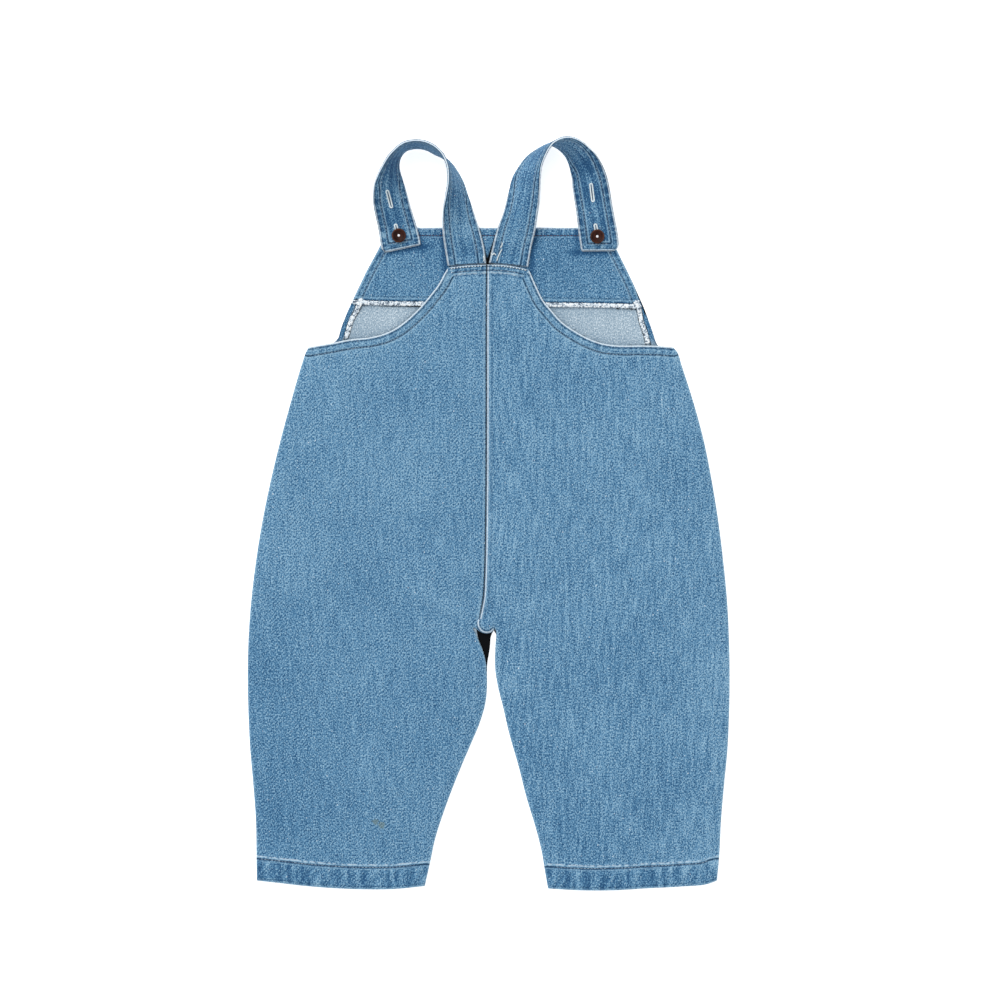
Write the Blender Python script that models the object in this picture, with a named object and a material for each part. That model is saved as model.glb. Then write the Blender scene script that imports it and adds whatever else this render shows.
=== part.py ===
"""Toddler's denim overalls laid out flat, back uppermost, shoulders towards +Y.

The garment rests on its front panels at Z = 0. The back panels lie on the front
ones, the facing lies inside the bib, and each strap rises from the back, turns
over on its edge in a loop and lies down on the facing, where its button holds it.
Tables are in millimetres, seen from above, from the middle of the garment.
"""

import bpy
import numpy as np

MM = 0.001

# Cloth and seams
CLOTH = 1.2
GAP = 0.3
RIM = 0.25
LOFT = 1.7
LOFT_REACH = 7.0
PUFF = 1.3
PUFF_REACH = 60.0
PUFF_FADE = (60.0, 150.0)
PUFF_FROM_SEAM = (4.0, 40.0)

# Turned edges
HEM_HEIGHT = 18.0
HEM_EXTRA = 0.7
ARMHOLE_TURNING = 7.0
ARMHOLE_EXTRA = 0.6
BIB_TURNING = 8.0
BIB_EXTRA = 0.5
BIB_TURNING_START = (134.5, 138.5)
BIB_TURNING_END = (142.0, 156.0)
EDGE_STEP = 1.2
HEM_CLEARANCE = 2.0

# Centre back seam and the lump of cloth where it ends
SEAM_DIP = 0.5
SEAM_DIP_REACH = 2.2
SEAM_RIDGE = 0.6
SEAM_RIDGE_AT = 3.0
SEAM_RIDGE_REACH = 2.0
LUMP_AT = (-1.2, -90.0)
LUMP_HEIGHT = 1.6
LUMP_HOLLOW = 1.0
LUMP_REACH = 5.0

# Facing, straps and buttons
FACING_THICK = 1.1
FACING_INSET = 0.5
FACING_SIDE_FROM = 170.0
STRAP_THICK = 2.0
STRAP_COLUMNS = (0.0, 0.05, 0.16, 0.5, 0.84, 0.95, 1.0)
STRAP_ROWS = 52
OUTER_CORNER = 5.0
INNER_CORNER = 1.5
STRAP_WIDTH = 31.0
BUTTON_STEPS = 28
BUTTON_BASE = 5.2

# Grid of each panel: columns across and rows up
BACK_COLUMNS = (
    0.0, 0.02, 0.06, 0.13, 0.2, 0.27, 0.34, 0.41, 0.48,
    0.55, 0.62, 0.69, 0.75, 0.81, 0.88, 0.95, 0.98, 1.0,
)
FRONT_COLUMNS = (0.0, 0.04, 0.08, 0.12, 0.17, 0.24, 0.34, 0.46, 0.6, 0.7, 0.8, 0.9, 1.0)
LEG_ROWS = 11
CROTCH_ROWS = 8
TORSO_ROWS = 15
FACING_COLUMNS = 20
FACING_ROWS = 5
BACK_CROTCH_SHARE = 0.44
FRONT_CROTCH_SHARE = 0.42
BACK_CORNER_SHARE = 0.81
FRONT_CORNER_SHARE = 0.6
BACK_CROTCH_ROW = 0.42
FRONT_CROTCH_ROW = 0.40
CROTCH_REACH = 0.035
BAND_LIMIT = 0.06
BAND_LIMIT_GROWTH = 0.01
BAND_FADE = 4

# The middle of the outline, which becomes the origin
MIDDLE = (0.0, -1.6)

# Side seams, a row for each height from the hem to the underarm
SIDE_SECTIONS = (
    # height, left side, right side
    (-293.8, -185.3, 182.5),
    (-273.7, -185.6, 184.4),
    (-246.5, -186.1, 185.8),
    (-216.9, -188.2, 188.3),
    (-189.7, -190.6, 190.9),
    (-159.3, -192.1, 192.3),
    (-127.3, -192.7, 192.7),
    (-98.5, -191.9, 192.1),
    (-69.7, -189.8, 190.6),
    (-37.7, -185.9, 187.5),
    (-5.7, -180.7, 183.5),
    (26.3, -174.1, 178.3),
    (58.3, -166.4, 171.9),
    (90.3, -157.7, 163.2),
    (118.3, -149.5, 154.2),
    (128.7, -145.9, 150.7),
    (132.6, -143.7, 147.5),
)

# Lower edge of each leg, from the side seam to the inside leg
HEM_LEFT = (
    # across, height
    (-185.3, -293.8),
    (-170.9, -295.2),
    (-148.5, -297.7),
    (-126.1, -299.5),
    (-98.1, -300.6),
    (-75.7, -300.4),
    (-51.0, -298.2),
)
HEM_RIGHT = (
    # across, height
    (182.5, -293.8),
    (176.3, -296.1),
    (153.9, -298.4),
    (125.9, -299.8),
    (103.5, -301.2),
    (75.5, -301.5),
    (47.4, -300.2),
)

# Inside leg, from the hem up to the crotch
INSIDE_LEG_LEFT = (
    # across, height
    (-51.0, -298.2),
    (-47.1, -280.9),
    (-42.4, -259.3),
    (-36.5, -240.9),
    (-29.8, -222.5),
    (-21.8, -202.5),
    (-13.9, -184.1),
    (-7.2, -168.1),
    (-2.6, -152.1),
    (-1.3, -140.1),
)
INSIDE_LEG_RIGHT = (
    # across, height
    (47.4, -300.2),
    (45.1, -287.3),
    (42.6, -272.0),
    (37.9, -252.9),
    (30.6, -228.9),
    (23.2, -200.1),
    (16.6, -177.3),
    (11.3, -154.5),
    (7.3, -138.5),
    (5.3, -125.7),
    (5.2, -109.7),
)
BACK_CROTCH_LEFT = (
    # across, height
    (-1.4, -130.0),
    (-2.2, -119.5),
    (-4.3, -111.0),
    (-7.0, -104.0),
    (-10.2, -96.5),
    (-12.0, -91.9),
    (-10.6, -91.4),
    (-9.0, -89.6),
)
BACK_CROTCH_RIGHT = (
    # across, height
    (5.9, -99.5),
    (5.8, -94.6),
    (4.4, -92.2),
    (2.4, -91.9),
    (0.4, -91.6),
    (-2.2, -91.1),
    (-4.8, -90.4),
    (-6.9, -89.3),
)
FRONT_CROTCH_LEFT = (
    # across, height
    (-1.2, -130.0),
    (-1.0, -120.0),
    (0.2, -113.0),
    (1.2, -105.7),
    (1.9, -98.5),
)
FRONT_CROTCH_RIGHT = (
    # across, height
    (5.6, -102.0),
    (6.0, -97.5),
)

# Centre seams, from the crotch up
BACK_SEAM = (
    # across, height
    (-7.8, -86.0),
    (-6.1, -77.7),
    (-4.2, -67.7),
    (-3.3, -53.7),
    (-2.8, -37.7),
    (-2.1, 10.3),
    (-1.8, 90.3),
    (-1.8, 146.3),
    (-1.5, 198.4),
)
FRONT_SEAM = (
    # across, height
    (4.0, -94.0),
    (2.6, -80.0),
    (1.0, -60.0),
    (0.0, -30.0),
    (0.0, 100.0),
    (0.0, 228.2),
)

# Armhole of the back, from the side seam to the corner under the strap
ARMHOLE_LEFT = (
    # across, height
    (-143.7, 132.6),
    (-126.9, 135.4),
    (-109.6, 138.7),
    (-94.1, 140.4),
    (-85.3, 142.5),
    (-75.7, 146.7),
    (-68.0, 151.9),
    (-61.0, 158.0),
    (-53.3, 165.8),
    (-46.3, 174.3),
    (-40.2, 182.3),
    (-34.9, 191.9),
    (-32.4, 195.9),
)
ARMHOLE_RIGHT = (
    # across, height
    (147.5, 132.6),
    (134.0, 133.5),
    (120.6, 133.8),
    (103.3, 133.8),
    (91.0, 135.4),
    (79.8, 139.4),
    (68.6, 145.5),
    (58.4, 152.7),
    (50.2, 161.8),
    (44.1, 169.2),
    (37.9, 181.5),
    (32.3, 194.2),
)

# Upper edge of the back, from the corner under the strap to the centre seam
BACK_TOP_LEFT = (
    # across, height
    (-32.4, 195.9),
    (-22.4, 197.2),
    (-12.0, 198.0),
    (-1.5, 198.4),
)
BACK_TOP_RIGHT = (
    # across, height
    (32.3, 194.2),
    (24.3, 196.2),
    (17.1, 197.4),
    (8.2, 198.3),
    (-1.5, 198.4),
)

# Side edge of the front, from the side seam up to the corner of the bib
BIB_SIDE_LEFT = (
    # across, height
    (-143.7, 132.6),
    (-132.0, 133.6),
    (-123.5, 136.4),
    (-119.3, 141.5),
    (-114.9, 155.9),
    (-109.3, 168.7),
    (-103.3, 181.5),
    (-97.1, 194.3),
    (-90.1, 207.1),
    (-79.3, 228.2),
)
BIB_SIDE_RIGHT = (
    # across, height
    (147.5, 132.6),
    (140.0, 132.9),
    (134.6, 134.4),
    (131.8, 139.0),
    (126.3, 155.9),
    (121.9, 168.7),
    (116.5, 181.5),
    (110.4, 194.3),
    (104.0, 207.1),
    (93.9, 228.2),
)

# Lower edge of the facing, from its left side to its right side
FACING_LOWER = (
    # across, height
    (-109.4, 167.2),
    (-85.0, 166.2),
    (-40.0, 165.8),
    (10.0, 165.4),
    (60.0, 164.9),
    (95.0, 164.4),
    (122.4, 163.6),
)

# Middle of each strap's cloth, a row for each section from the back to the bib
STRAP_LEFT = (
    # outer edge: across, height, up; inner edge: across, height, up
    (-32.7, 197.3, 3.9, -1.9, 199.3, 3.9),
    (-34.6, 208.7, 4.6, -3.4, 211.3, 3.9),
    (-36.4, 221.3, 8.2, -6.8, 225.1, 4.1),
    (-36.9, 232.0, 14.0, -10.8, 236.8, 3.0),
    (-36.0, 242.0, 19.5, -13.6, 244.8, 1.8),
    (-34.0, 251.6, 24.4, -17.2, 254.6, 1.1),
    (-32.3, 260.7, 28.0, -20.3, 263.4, 0.8),
    (-32.0, 270.1, 30.2, -24.6, 271.6, 0.6),
    (-33.2, 277.1, 31.1, -30.2, 279.4, 0.6),
    (-36.6, 284.6, 31.4, -36.2, 283.9, 0.6),
    (-41.6, 289.8, 31.4, -42.4, 286.8, 0.6),
    (-49.5, 294.0, 31.4, -50.0, 290.6, 0.6),
    (-59.0, 295.1, 31.3, -58.5, 291.7, 0.6),
    (-68.0, 292.9, 31.2, -66.0, 289.8, 0.6),
    (-74.8, 287.6, 30.9, -70.2, 285.2, 0.7),
    (-80.2, 281.4, 30.2, -71.9, 279.6, 0.9),
    (-84.4, 274.5, 29.0, -71.6, 274.0, 1.2),
    (-88.4, 267.0, 26.0, -69.6, 267.6, 1.6),
    (-91.0, 260.0, 21.6, -67.1, 260.2, 2.2),
    (-92.2, 251.0, 16.4, -64.5, 252.2, 2.9),
    (-91.6, 243.2, 10.8, -62.2, 243.9, 3.5),
    (-90.0, 235.0, 6.8, -59.9, 236.8, 3.9),
    (-88.4, 228.0, 4.6, -57.9, 230.4, 3.9),
    (-86.8, 217.5, 3.9, -55.6, 221.9, 3.9),
    (-85.0, 207.3, 3.9, -54.0, 214.1, 3.9),
)
STRAP_RIGHT = (
    # outer edge: across, height, up; inner edge: across, height, up
    (31.6, 196.6, 3.9, 0.3, 199.6, 3.9),
    (34.2, 212.2, 4.5, 3.3, 213.5, 3.9),
    (37.6, 226.6, 9.0, 7.7, 229.5, 4.0),
    (39.3, 238.0, 14.6, 11.8, 240.0, 2.8),
    (40.6, 247.2, 18.6, 14.2, 248.7, 1.7),
    (40.8, 256.5, 22.2, 16.5, 257.6, 1.2),
    (41.0, 265.8, 25.4, 19.4, 267.7, 0.9),
    (42.0, 275.0, 28.2, 24.2, 276.0, 0.8),
    (44.8, 282.8, 30.2, 30.6, 284.2, 0.7),
    (48.3, 289.4, 31.2, 38.4, 290.0, 0.6),
    (52.6, 294.2, 31.4, 48.4, 294.4, 0.6),
    (57.6, 296.8, 31.2, 53.8, 292.6, 0.7),
    (63.6, 297.7, 30.2, 58.2, 289.2, 0.8),
    (69.6, 296.6, 28.6, 61.6, 285.2, 1.0),
    (75.4, 293.5, 26.4, 63.6, 281.2, 1.3),
    (80.7, 289.1, 24.4, 65.1, 276.6, 1.6),
    (85.5, 284.7, 21.8, 66.0, 272.0, 1.9),
    (90.0, 278.3, 18.4, 66.8, 266.6, 2.4),
    (94.0, 269.6, 14.2, 67.1, 259.8, 2.9),
    (96.5, 259.6, 10.4, 68.0, 252.8, 3.4),
    (98.9, 245.6, 6.8, 69.4, 243.6, 3.8),
    (101.2, 233.6, 4.8, 70.8, 232.4, 3.9),
    (103.4, 221.6, 4.0, 72.2, 221.0, 3.9),
    (104.0, 214.0, 3.9, 73.2, 214.0, 3.9),
    (103.3, 209.2, 3.9, 74.0, 208.9, 3.9),
)

# Half section of a button, from the middle of its back round to the middle of its dish
BUTTON_SECTION = (
    # radius, up
    (0.0, 0.0),
    (4.4, 0.0),
    (5.3, 0.4),
    (5.7, 1.2),
    (5.5, 2.0),
    (4.8, 2.5),
    (4.1, 2.4),
    (3.3, 1.9),
    (2.3, 1.7),
    (1.6, 1.5),
    (1.2, 1.0),
    (0.0, 0.9),
)
BUTTON_LEFT_AT = (-71.7, 221.5)
BUTTON_RIGHT_AT = (86.8, 220.7)

DENIM = (0.127, 0.305, 0.515)
DENIM_DARK = (0.080, 0.215, 0.400)
DENIM_PALE = (0.300, 0.480, 0.640)
BROWN = (0.045, 0.018, 0.012)


def clear_scene():
    """Start from an empty scene."""
    for item in list(bpy.data.objects):
        bpy.data.objects.remove(item)


def finish(name, colour, roughness, metallic=0.0):
    """One plain finish for one piece."""
    material = bpy.data.materials.new(name)
    material.use_nodes = True
    shader = material.node_tree.nodes["Principled BSDF"]
    shader.inputs["Base Color"].default_value = (*colour, 1.0)
    shader.inputs["Roughness"].default_value = roughness
    shader.inputs["Metallic"].default_value = metallic
    return material


def even(count):
    """Shares from 0 to 1 in even steps."""
    return np.linspace(0.0, 1.0, count + 1)


def smooth_step(value, low, high):
    """0 below low, 1 above high, with a soft change between."""
    share = np.clip((value - low) / (high - low), 0.0, 1.0)
    return share * share * (3.0 - 2.0 * share)


def bump(distance, reach):
    """A soft hill that is 1 at no distance and fades over the reach."""
    return np.exp(-((distance / reach) ** 2))


def spline(knots, values, at):
    """Cubic curve through the values, with slopes taken from the neighbours of each knot."""
    slopes = np.gradient(values, knots, axis=0)
    place = np.clip(np.searchsorted(knots, at, side="right") - 1, 0, len(knots) - 2)
    step = (knots[place + 1] - knots[place])[:, None]
    share = ((at - knots[place]) / step[:, 0])[:, None]
    square = share * share
    cube = square * share
    start = (2 * cube - 3 * square + 1) * values[place]
    leave = (cube - 2 * square + share) * step * slopes[place]
    end = (3 * square - 2 * cube) * values[place + 1]
    arrive = (cube - square) * step * slopes[place + 1]
    return start + leave + end + arrive


def line(rows, at):
    """Points at the given shares of the length of a smooth line through the rows."""
    values = np.array(rows, dtype=float)
    lengths = np.linalg.norm(np.diff(values, axis=0), axis=1)
    knots = np.concatenate(([0.0], np.cumsum(lengths)))
    return spline(knots / knots[-1], values, np.asarray(at, dtype=float))


def joined(parts, at):
    """Points along several lines in turn, each given as (rows, share where it ends)."""
    at = np.asarray(at, dtype=float)
    points = np.zeros((len(at), 2))
    begin = 0.0
    for rows, end in parts:
        inside = (at >= begin) if end >= 1.0 else (at >= begin) & (at < end)
        points[inside] = line(rows, (at[inside] - begin) / (end - begin))
        begin = end
    return points


def side_rows(column):
    """One side seam as rows of (across, height)."""
    return [(row[column], row[0]) for row in SIDE_SECTIONS]


def patch(edges, across, up):
    """Points inside four edges, at grids of shares across and up.

    A point is the mean of the two edges left and right of it and the two edges
    below and above it, each weighted by nearness, less the share of the corners
    that both means hold.
    """
    shape = across.shape
    share_u = across.ravel()
    share_v = up.ravel()
    u = share_u[:, None]
    v = share_v[:, None]
    below = edges["below"](share_u)
    above = edges["above"](share_u)
    outer = edges["outer"](share_v)
    inner = edges["inner"](share_v)
    ends = np.array([0.0, 1.0])
    low_outer, low_inner = edges["below"](ends)
    high_outer, high_inner = edges["above"](ends)
    corners = (1 - u) * (1 - v) * low_outer + u * (1 - v) * low_inner
    corners = corners + (1 - u) * v * high_outer + u * v * high_inner
    points = (1 - v) * below + v * above + (1 - u) * outer + u * inner - corners
    return points.reshape(*shape, 2)


def band_shares(edges, across, level, distance):
    """How far up or down the panel, as a share, a band of one width reaches from its edge.

    Where the panel runs almost along its edge the share is limited, a little less for
    a narrower band, so that two bands never fall on one row.
    """
    step = 0.002
    inward = step if level < 0.5 else -step
    middle = np.clip(across, step, 1.0 - step)
    here = patch(edges, middle, np.full_like(middle, level))
    beside = patch(edges, middle + step, np.full_like(middle, level))
    within = patch(edges, middle, np.full_like(middle, level + inward))
    along = beside - here
    away = within - here
    area = np.abs(along[:, 0] * away[:, 1] - along[:, 1] * away[:, 0])
    rate = area / np.linalg.norm(along, axis=1) / step
    limit = BAND_LIMIT * (1.0 + BAND_LIMIT_GROWTH * distance)
    return np.minimum(distance / np.maximum(rate, 1.0), limit)


def row_shares(crotch):
    """Shares up a panel between its turned edges, closer together at the crotch."""
    leg = np.linspace(0.0, crotch - CROTCH_REACH, LEG_ROWS + 1)
    near = np.linspace(crotch - CROTCH_REACH, crotch + CROTCH_REACH, CROTCH_ROWS + 1)
    torso = np.linspace(crotch + CROTCH_REACH, 1.0, TORSO_ROWS + 1)
    return np.concatenate((leg[1:], near[1:], torso[1:-1]))


def panel_grid(edges, columns, crotch, turning):
    """Grid of points with rows placed at the steps of the hem and of the turned upper edge.

    The rows between them keep even shares, and bend towards the steps only near each end.
    """
    across = np.array(columns)
    lower = [0.0 * across]
    for distance in (HEM_HEIGHT - EDGE_STEP / 2, HEM_HEIGHT + EDGE_STEP / 2):
        lower.append(band_shares(edges, across, 0.0, distance))
    upper = []
    for distance in (turning + EDGE_STEP / 2, turning - EDGE_STEP / 2):
        upper.append(1.0 - band_shares(edges, across, 1.0, distance))
    upper.append(0.0 * across + 1.0)
    start = lower[-1]
    stop = upper[0]
    body = [
        share + start * (1.0 - share) ** BAND_FADE - (1.0 - stop) * share**BAND_FADE
        for share in row_shares(crotch)
    ]
    up = np.array(lower + body + upper)
    return patch(edges, np.broadcast_to(across, up.shape).copy(), up)


def distance_to(points, rows, samples=240):
    """Shortest distance from each point of a grid to a line through the rows."""
    marks = line(rows, even(samples))
    apart = points[..., None, :] - marks
    return np.sqrt((apart**2).sum(axis=-1).min(axis=-1))


def nearest(points, lines):
    """Shortest distance to any of several lines."""
    return np.min([distance_to(points, rows) for rows in lines], axis=0)


def raised(points, heights):
    """A grid seen from above, given its heights."""
    return np.concatenate((points, heights[..., None]), axis=-1)


def rim_order(rows, columns):
    """The grid places round the edge of a grid, once round from its first corner."""
    lower = [(0, column) for column in range(columns)]
    right = [(row, columns) for row in range(rows)]
    upper = [(rows, column) for column in range(columns, 0, -1)]
    left = [(row, 0) for row in range(rows, 0, -1)]
    return np.array(lower + right + upper + left)


def wall(name, upper, under, material):
    """Closed wall between two grids of points, with a rounded rim at the stated outline."""
    rows, columns = upper.shape[0] - 1, upper.shape[1] - 1
    order = rim_order(rows, columns)
    top = upper[order[:, 0], order[:, 1]]
    low = under[order[:, 0], order[:, 1]]
    rim = (top + low) / 2
    along = np.roll(rim, -1, axis=0) - np.roll(rim, 1, axis=0)
    outward = np.cross(along, top - low)
    outward = outward / np.linalg.norm(outward, axis=1)[:, None]
    upper = upper.copy()
    under = under.copy()
    upper[order[:, 0], order[:, 1]] = top - outward * RIM
    under[order[:, 0], order[:, 1]] = low - outward * RIM
    size = upper.shape[0] * upper.shape[1]
    number = np.arange(size).reshape(upper.shape[:2])
    faces = []
    for row in range(rows):
        for column in range(columns):
            corner = number[row : row + 2, column : column + 2]
            square = [corner[0, 0], corner[0, 1], corner[1, 1], corner[1, 0]]
            faces.append(square)
            faces.append([place + size for place in reversed(square)])
    ring = number[order[:, 0], order[:, 1]]
    count = len(ring)
    for place in range(count):
        after = (place + 1) % count
        middle = 2 * size + place
        middle_after = 2 * size + after
        faces.append([middle, middle_after, ring[after], ring[place]])
        faces.append([ring[place] + size, ring[after] + size, middle_after, middle])
    points = np.concatenate((upper.reshape(-1, 3), under.reshape(-1, 3), rim))
    return solid(name, points, faces, material)


def solid(name, points, faces, material):
    """One named mesh object, moved so that the middle of the garment is the origin."""
    shift = np.array([MIDDLE[0], MIDDLE[1], 0.0])
    mesh = bpy.data.meshes.new(name)
    corners = [[int(place) for place in face] for face in faces]
    mesh.from_pydata(((points - shift) * MM).tolist(), [], corners)
    mesh.materials.append(material)
    mesh.shade_smooth()
    mesh.set_sharp_from_angle(angle=np.radians(40.0))
    piece = bpy.data.objects.new(name, mesh)
    bpy.context.scene.collection.objects.link(piece)
    return piece


def beside_seam(rows, away):
    """A seam line moved sideways by half of the gap, away from the other half."""
    return [(across + away * GAP / 2, height) for across, height in rows]


def back_edges(half, away):
    """The four edges of one half of the back."""
    seam = beside_seam(BACK_SEAM, away)
    tip = (seam[-1][0], half["top"][-1][1])
    seam_rows = [half["back_crotch"][-1], *seam[:-1], tip]
    leg_rows = half["inside_leg"] + half["back_crotch"]
    top_rows = [*half["top"][:-1], tip]
    return {
        "below": lambda at: line(half["hem"], at),
        "above": lambda at: joined([(half["armhole"], BACK_CORNER_SHARE), (top_rows, 1.0)], at),
        "outer": lambda at: line(half["side"], at),
        "inner": lambda at: joined([(leg_rows, BACK_CROTCH_SHARE), (seam_rows, 1.0)], at),
    }


def front_edges(half, away):
    """The four edges of one half of the front, with half of the bib."""
    seam = beside_seam(FRONT_SEAM, away)
    leg_rows = [*half["inside_leg"], *half["front_crotch"], seam[0]]
    top_rows = [half["bib_side"][-1], seam[-1]]
    return {
        "below": lambda at: line(half["hem"], at),
        "above": lambda at: joined([(half["bib_side"], FRONT_CORNER_SHARE), (top_rows, 1.0)], at),
        "outer": lambda at: line(half["side"], at),
        "inner": lambda at: joined([(leg_rows, FRONT_CROTCH_SHARE), (seam, 1.0)], at),
    }


def edge_rise(distance, width):
    """1 inside a turned edge of the given width and 0 beyond it, with a short step between."""
    return 1.0 - smooth_step(distance, width - EDGE_STEP / 2, width + EDGE_STEP / 2)


def hem_rise(points, hem, beyond=0.0):
    """Extra thickness inside the turned leg hem, 0 to 1."""
    return edge_rise(distance_to(points, hem) - beyond, HEM_HEIGHT)


def back_half(name, half, away):
    """One half of the back, lofted a little over the front and thicker at its turned edges."""
    points = panel_grid(back_edges(half, away), BACK_COLUMNS, BACK_CROTCH_ROW, ARMHOLE_TURNING)
    if away > 0:
        points = points[:, ::-1]
    closed = (half["side"], half["inside_leg"] + half["back_crotch"])
    rim = nearest(points, closed)
    seam = distance_to(points, BACK_SEAM)
    body = smooth_step(nearest(points, (*closed, half["armhole"])), 0.0, PUFF_REACH)
    body = body * (1.0 - smooth_step(points[..., 1], *PUFF_FADE))
    loft = LOFT * (1.0 - np.exp(-rim / LOFT_REACH))
    loft = loft + PUFF * body * smooth_step(seam, *PUFF_FROM_SEAM)
    loft = loft - SEAM_DIP * bump(seam, SEAM_DIP_REACH) * np.clip(loft / LOFT, 0.0, 1.0)
    under = CLOTH + GAP + HEM_EXTRA * hem_rise(points, half["hem"], HEM_CLEARANCE) + loft
    turned = edge_rise(nearest(points, (half["armhole"], half["top"])), ARMHOLE_TURNING)
    upper = under + CLOTH + HEM_EXTRA * hem_rise(points, half["hem"]) + ARMHOLE_EXTRA * turned
    if away > 0:
        ridge = bump(seam - SEAM_RIDGE_AT, SEAM_RIDGE_REACH)
        lump = bump(np.linalg.norm(points - np.array(LUMP_AT), axis=-1), LUMP_REACH)
        upper = upper + SEAM_RIDGE * ridge * (1.0 - turned) + LUMP_HEIGHT * lump
        under = under + LUMP_HOLLOW * lump
    material = finish(name + "_denim", DENIM, 0.85)
    return wall(name, raised(points, upper), raised(points, under), material)


def front_half(name, half, away):
    """One half of the front, flat underneath, with its bib side turned."""
    points = panel_grid(front_edges(half, away), FRONT_COLUMNS, FRONT_CROTCH_ROW, BIB_TURNING)
    if away > 0:
        points = points[:, ::-1]
    turned = edge_rise(distance_to(points, half["bib_side"]), BIB_TURNING)
    turned = turned * smooth_step(points[..., 1], *BIB_TURNING_START)
    turned = turned * (1.0 - smooth_step(points[..., 1], *BIB_TURNING_END))
    upper = CLOTH + HEM_EXTRA * hem_rise(points, half["hem"]) + BIB_EXTRA * turned
    material = finish(name + "_denim", DENIM_PALE, 0.9)
    return wall(name, raised(points, upper), raised(points, 0.0 * upper), material)


def facing():
    """The facing that lies on the inside of the bib, whole from side to side."""
    left = [FACING_LOWER[0]]
    left += [(row[0] + FACING_INSET, row[1]) for row in BIB_SIDE_LEFT if row[1] > FACING_SIDE_FROM]
    right = [FACING_LOWER[-1]]
    right += [(row[0] - FACING_INSET, row[1]) for row in BIB_SIDE_RIGHT if row[1] > FACING_SIDE_FROM]
    left[-1] = (left[-1][0], left[-1][1] - FACING_INSET)
    right[-1] = (right[-1][0], right[-1][1] - FACING_INSET)
    edges = {
        "below": lambda at: line(FACING_LOWER, at),
        "above": lambda at: line([left[-1], right[-1]], at),
        "outer": lambda at: line(left, at),
        "inner": lambda at: line(right, at),
    }
    shape = (FACING_ROWS + 1, FACING_COLUMNS + 1)
    across = np.broadcast_to(even(FACING_COLUMNS), shape).copy()
    up = np.broadcast_to(even(FACING_ROWS)[:, None], shape).copy()
    points = patch(edges, across, up)
    under = np.full(shape, CLOTH + GAP)
    material = finish("bib_facing_denim", DENIM_DARK, 0.85)
    return wall("bib_facing", raised(points, under + FACING_THICK), raised(points, under), material)


def corner_setback(across):
    """How far the strap's end draws back, so that its corners are round."""
    outer = np.clip(OUTER_CORNER - across * STRAP_WIDTH, 0.0, OUTER_CORNER)
    inner = np.clip(INNER_CORNER - (1.0 - across) * STRAP_WIDTH, 0.0, INNER_CORNER)
    outer = OUTER_CORNER - np.sqrt(OUTER_CORNER**2 - outer**2)
    inner = INNER_CORNER - np.sqrt(INNER_CORNER**2 - inner**2)
    return outer + inner


def strap(name, rows, right):
    """A strap: a double band of cloth carried from section to section.

    Each section runs straight from the outer edge to the inner edge, the edges are
    smooth curves through the table, and the cloth is half its thickness to each side.
    """
    table = np.array(rows, dtype=float)
    middle = (table[:, :3] + table[:, 3:]) / 2
    lengths = np.linalg.norm(np.diff(middle, axis=0), axis=1)
    knots = np.concatenate(([0.0], np.cumsum(lengths)))
    across = np.array(STRAP_COLUMNS)
    reach = knots[-1] - corner_setback(across)
    grid = np.zeros((STRAP_ROWS + 1, len(across), 3))
    for column, share in enumerate(across):
        edges = spline(knots, table, even(STRAP_ROWS) * reach[column])
        grid[:, column] = edges[:, :3] * (1.0 - share) + edges[:, 3:] * share
    if right:
        grid = grid[:, ::-1]
    face = np.cross(np.gradient(grid, axis=1), np.gradient(grid, axis=0))
    face = face / np.linalg.norm(face, axis=-1)[..., None]
    half = face * STRAP_THICK / 2
    return wall(name, grid + half, grid - half, finish(name + "_denim", DENIM, 0.85))


def button(name, place):
    """A turned button with a raised rim and a dished middle, flat at the back."""
    angles = np.linspace(0.0, 2.0 * np.pi, BUTTON_STEPS, endpoint=False)
    circle = np.stack((np.cos(angles), np.sin(angles)), axis=1)
    rings = [
        np.column_stack((circle * radius + np.array(place), np.full(BUTTON_STEPS, BUTTON_BASE + up)))
        for radius, up in BUTTON_SECTION[1:-1]
    ]
    bottom = [place[0], place[1], BUTTON_BASE + BUTTON_SECTION[0][1]]
    dish = [place[0], place[1], BUTTON_BASE + BUTTON_SECTION[-1][1]]
    points = np.concatenate((*rings, [bottom], [dish]))
    first = len(rings) * BUTTON_STEPS
    last = (len(rings) - 1) * BUTTON_STEPS
    faces = []
    for step in range(BUTTON_STEPS):
        after = (step + 1) % BUTTON_STEPS
        faces.append([first, after, step])
        faces.append([first + 1, last + step, last + after])
        for ring in range(len(rings) - 1):
            low = ring * BUTTON_STEPS
            high = low + BUTTON_STEPS
            faces.append([low + step, low + after, high + after, high + step])
    return solid(name, points, faces, finish(name + "_brown", BROWN, 0.45))


def main():
    """Make every piece of the overalls."""
    clear_scene()
    left = {
        "side": side_rows(1),
        "hem": HEM_LEFT,
        "inside_leg": INSIDE_LEG_LEFT,
        "back_crotch": BACK_CROTCH_LEFT,
        "front_crotch": FRONT_CROTCH_LEFT,
        "armhole": ARMHOLE_LEFT,
        "top": BACK_TOP_LEFT,
        "bib_side": BIB_SIDE_LEFT,
    }
    right = {
        "side": side_rows(2),
        "hem": HEM_RIGHT,
        "inside_leg": INSIDE_LEG_RIGHT,
        "back_crotch": BACK_CROTCH_RIGHT,
        "front_crotch": FRONT_CROTCH_RIGHT,
        "armhole": ARMHOLE_RIGHT,
        "top": BACK_TOP_RIGHT,
        "bib_side": BIB_SIDE_RIGHT,
    }
    back_half("back_left", left, -1)
    back_half("back_right", right, 1)
    front_half("front_left", left, -1)
    front_half("front_right", right, 1)
    facing()
    strap("strap_left", STRAP_LEFT, False)
    strap("strap_right", STRAP_RIGHT, True)
    button("button_left", BUTTON_LEFT_AT)
    button("button_right", BUTTON_RIGHT_AT)


main()
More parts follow.
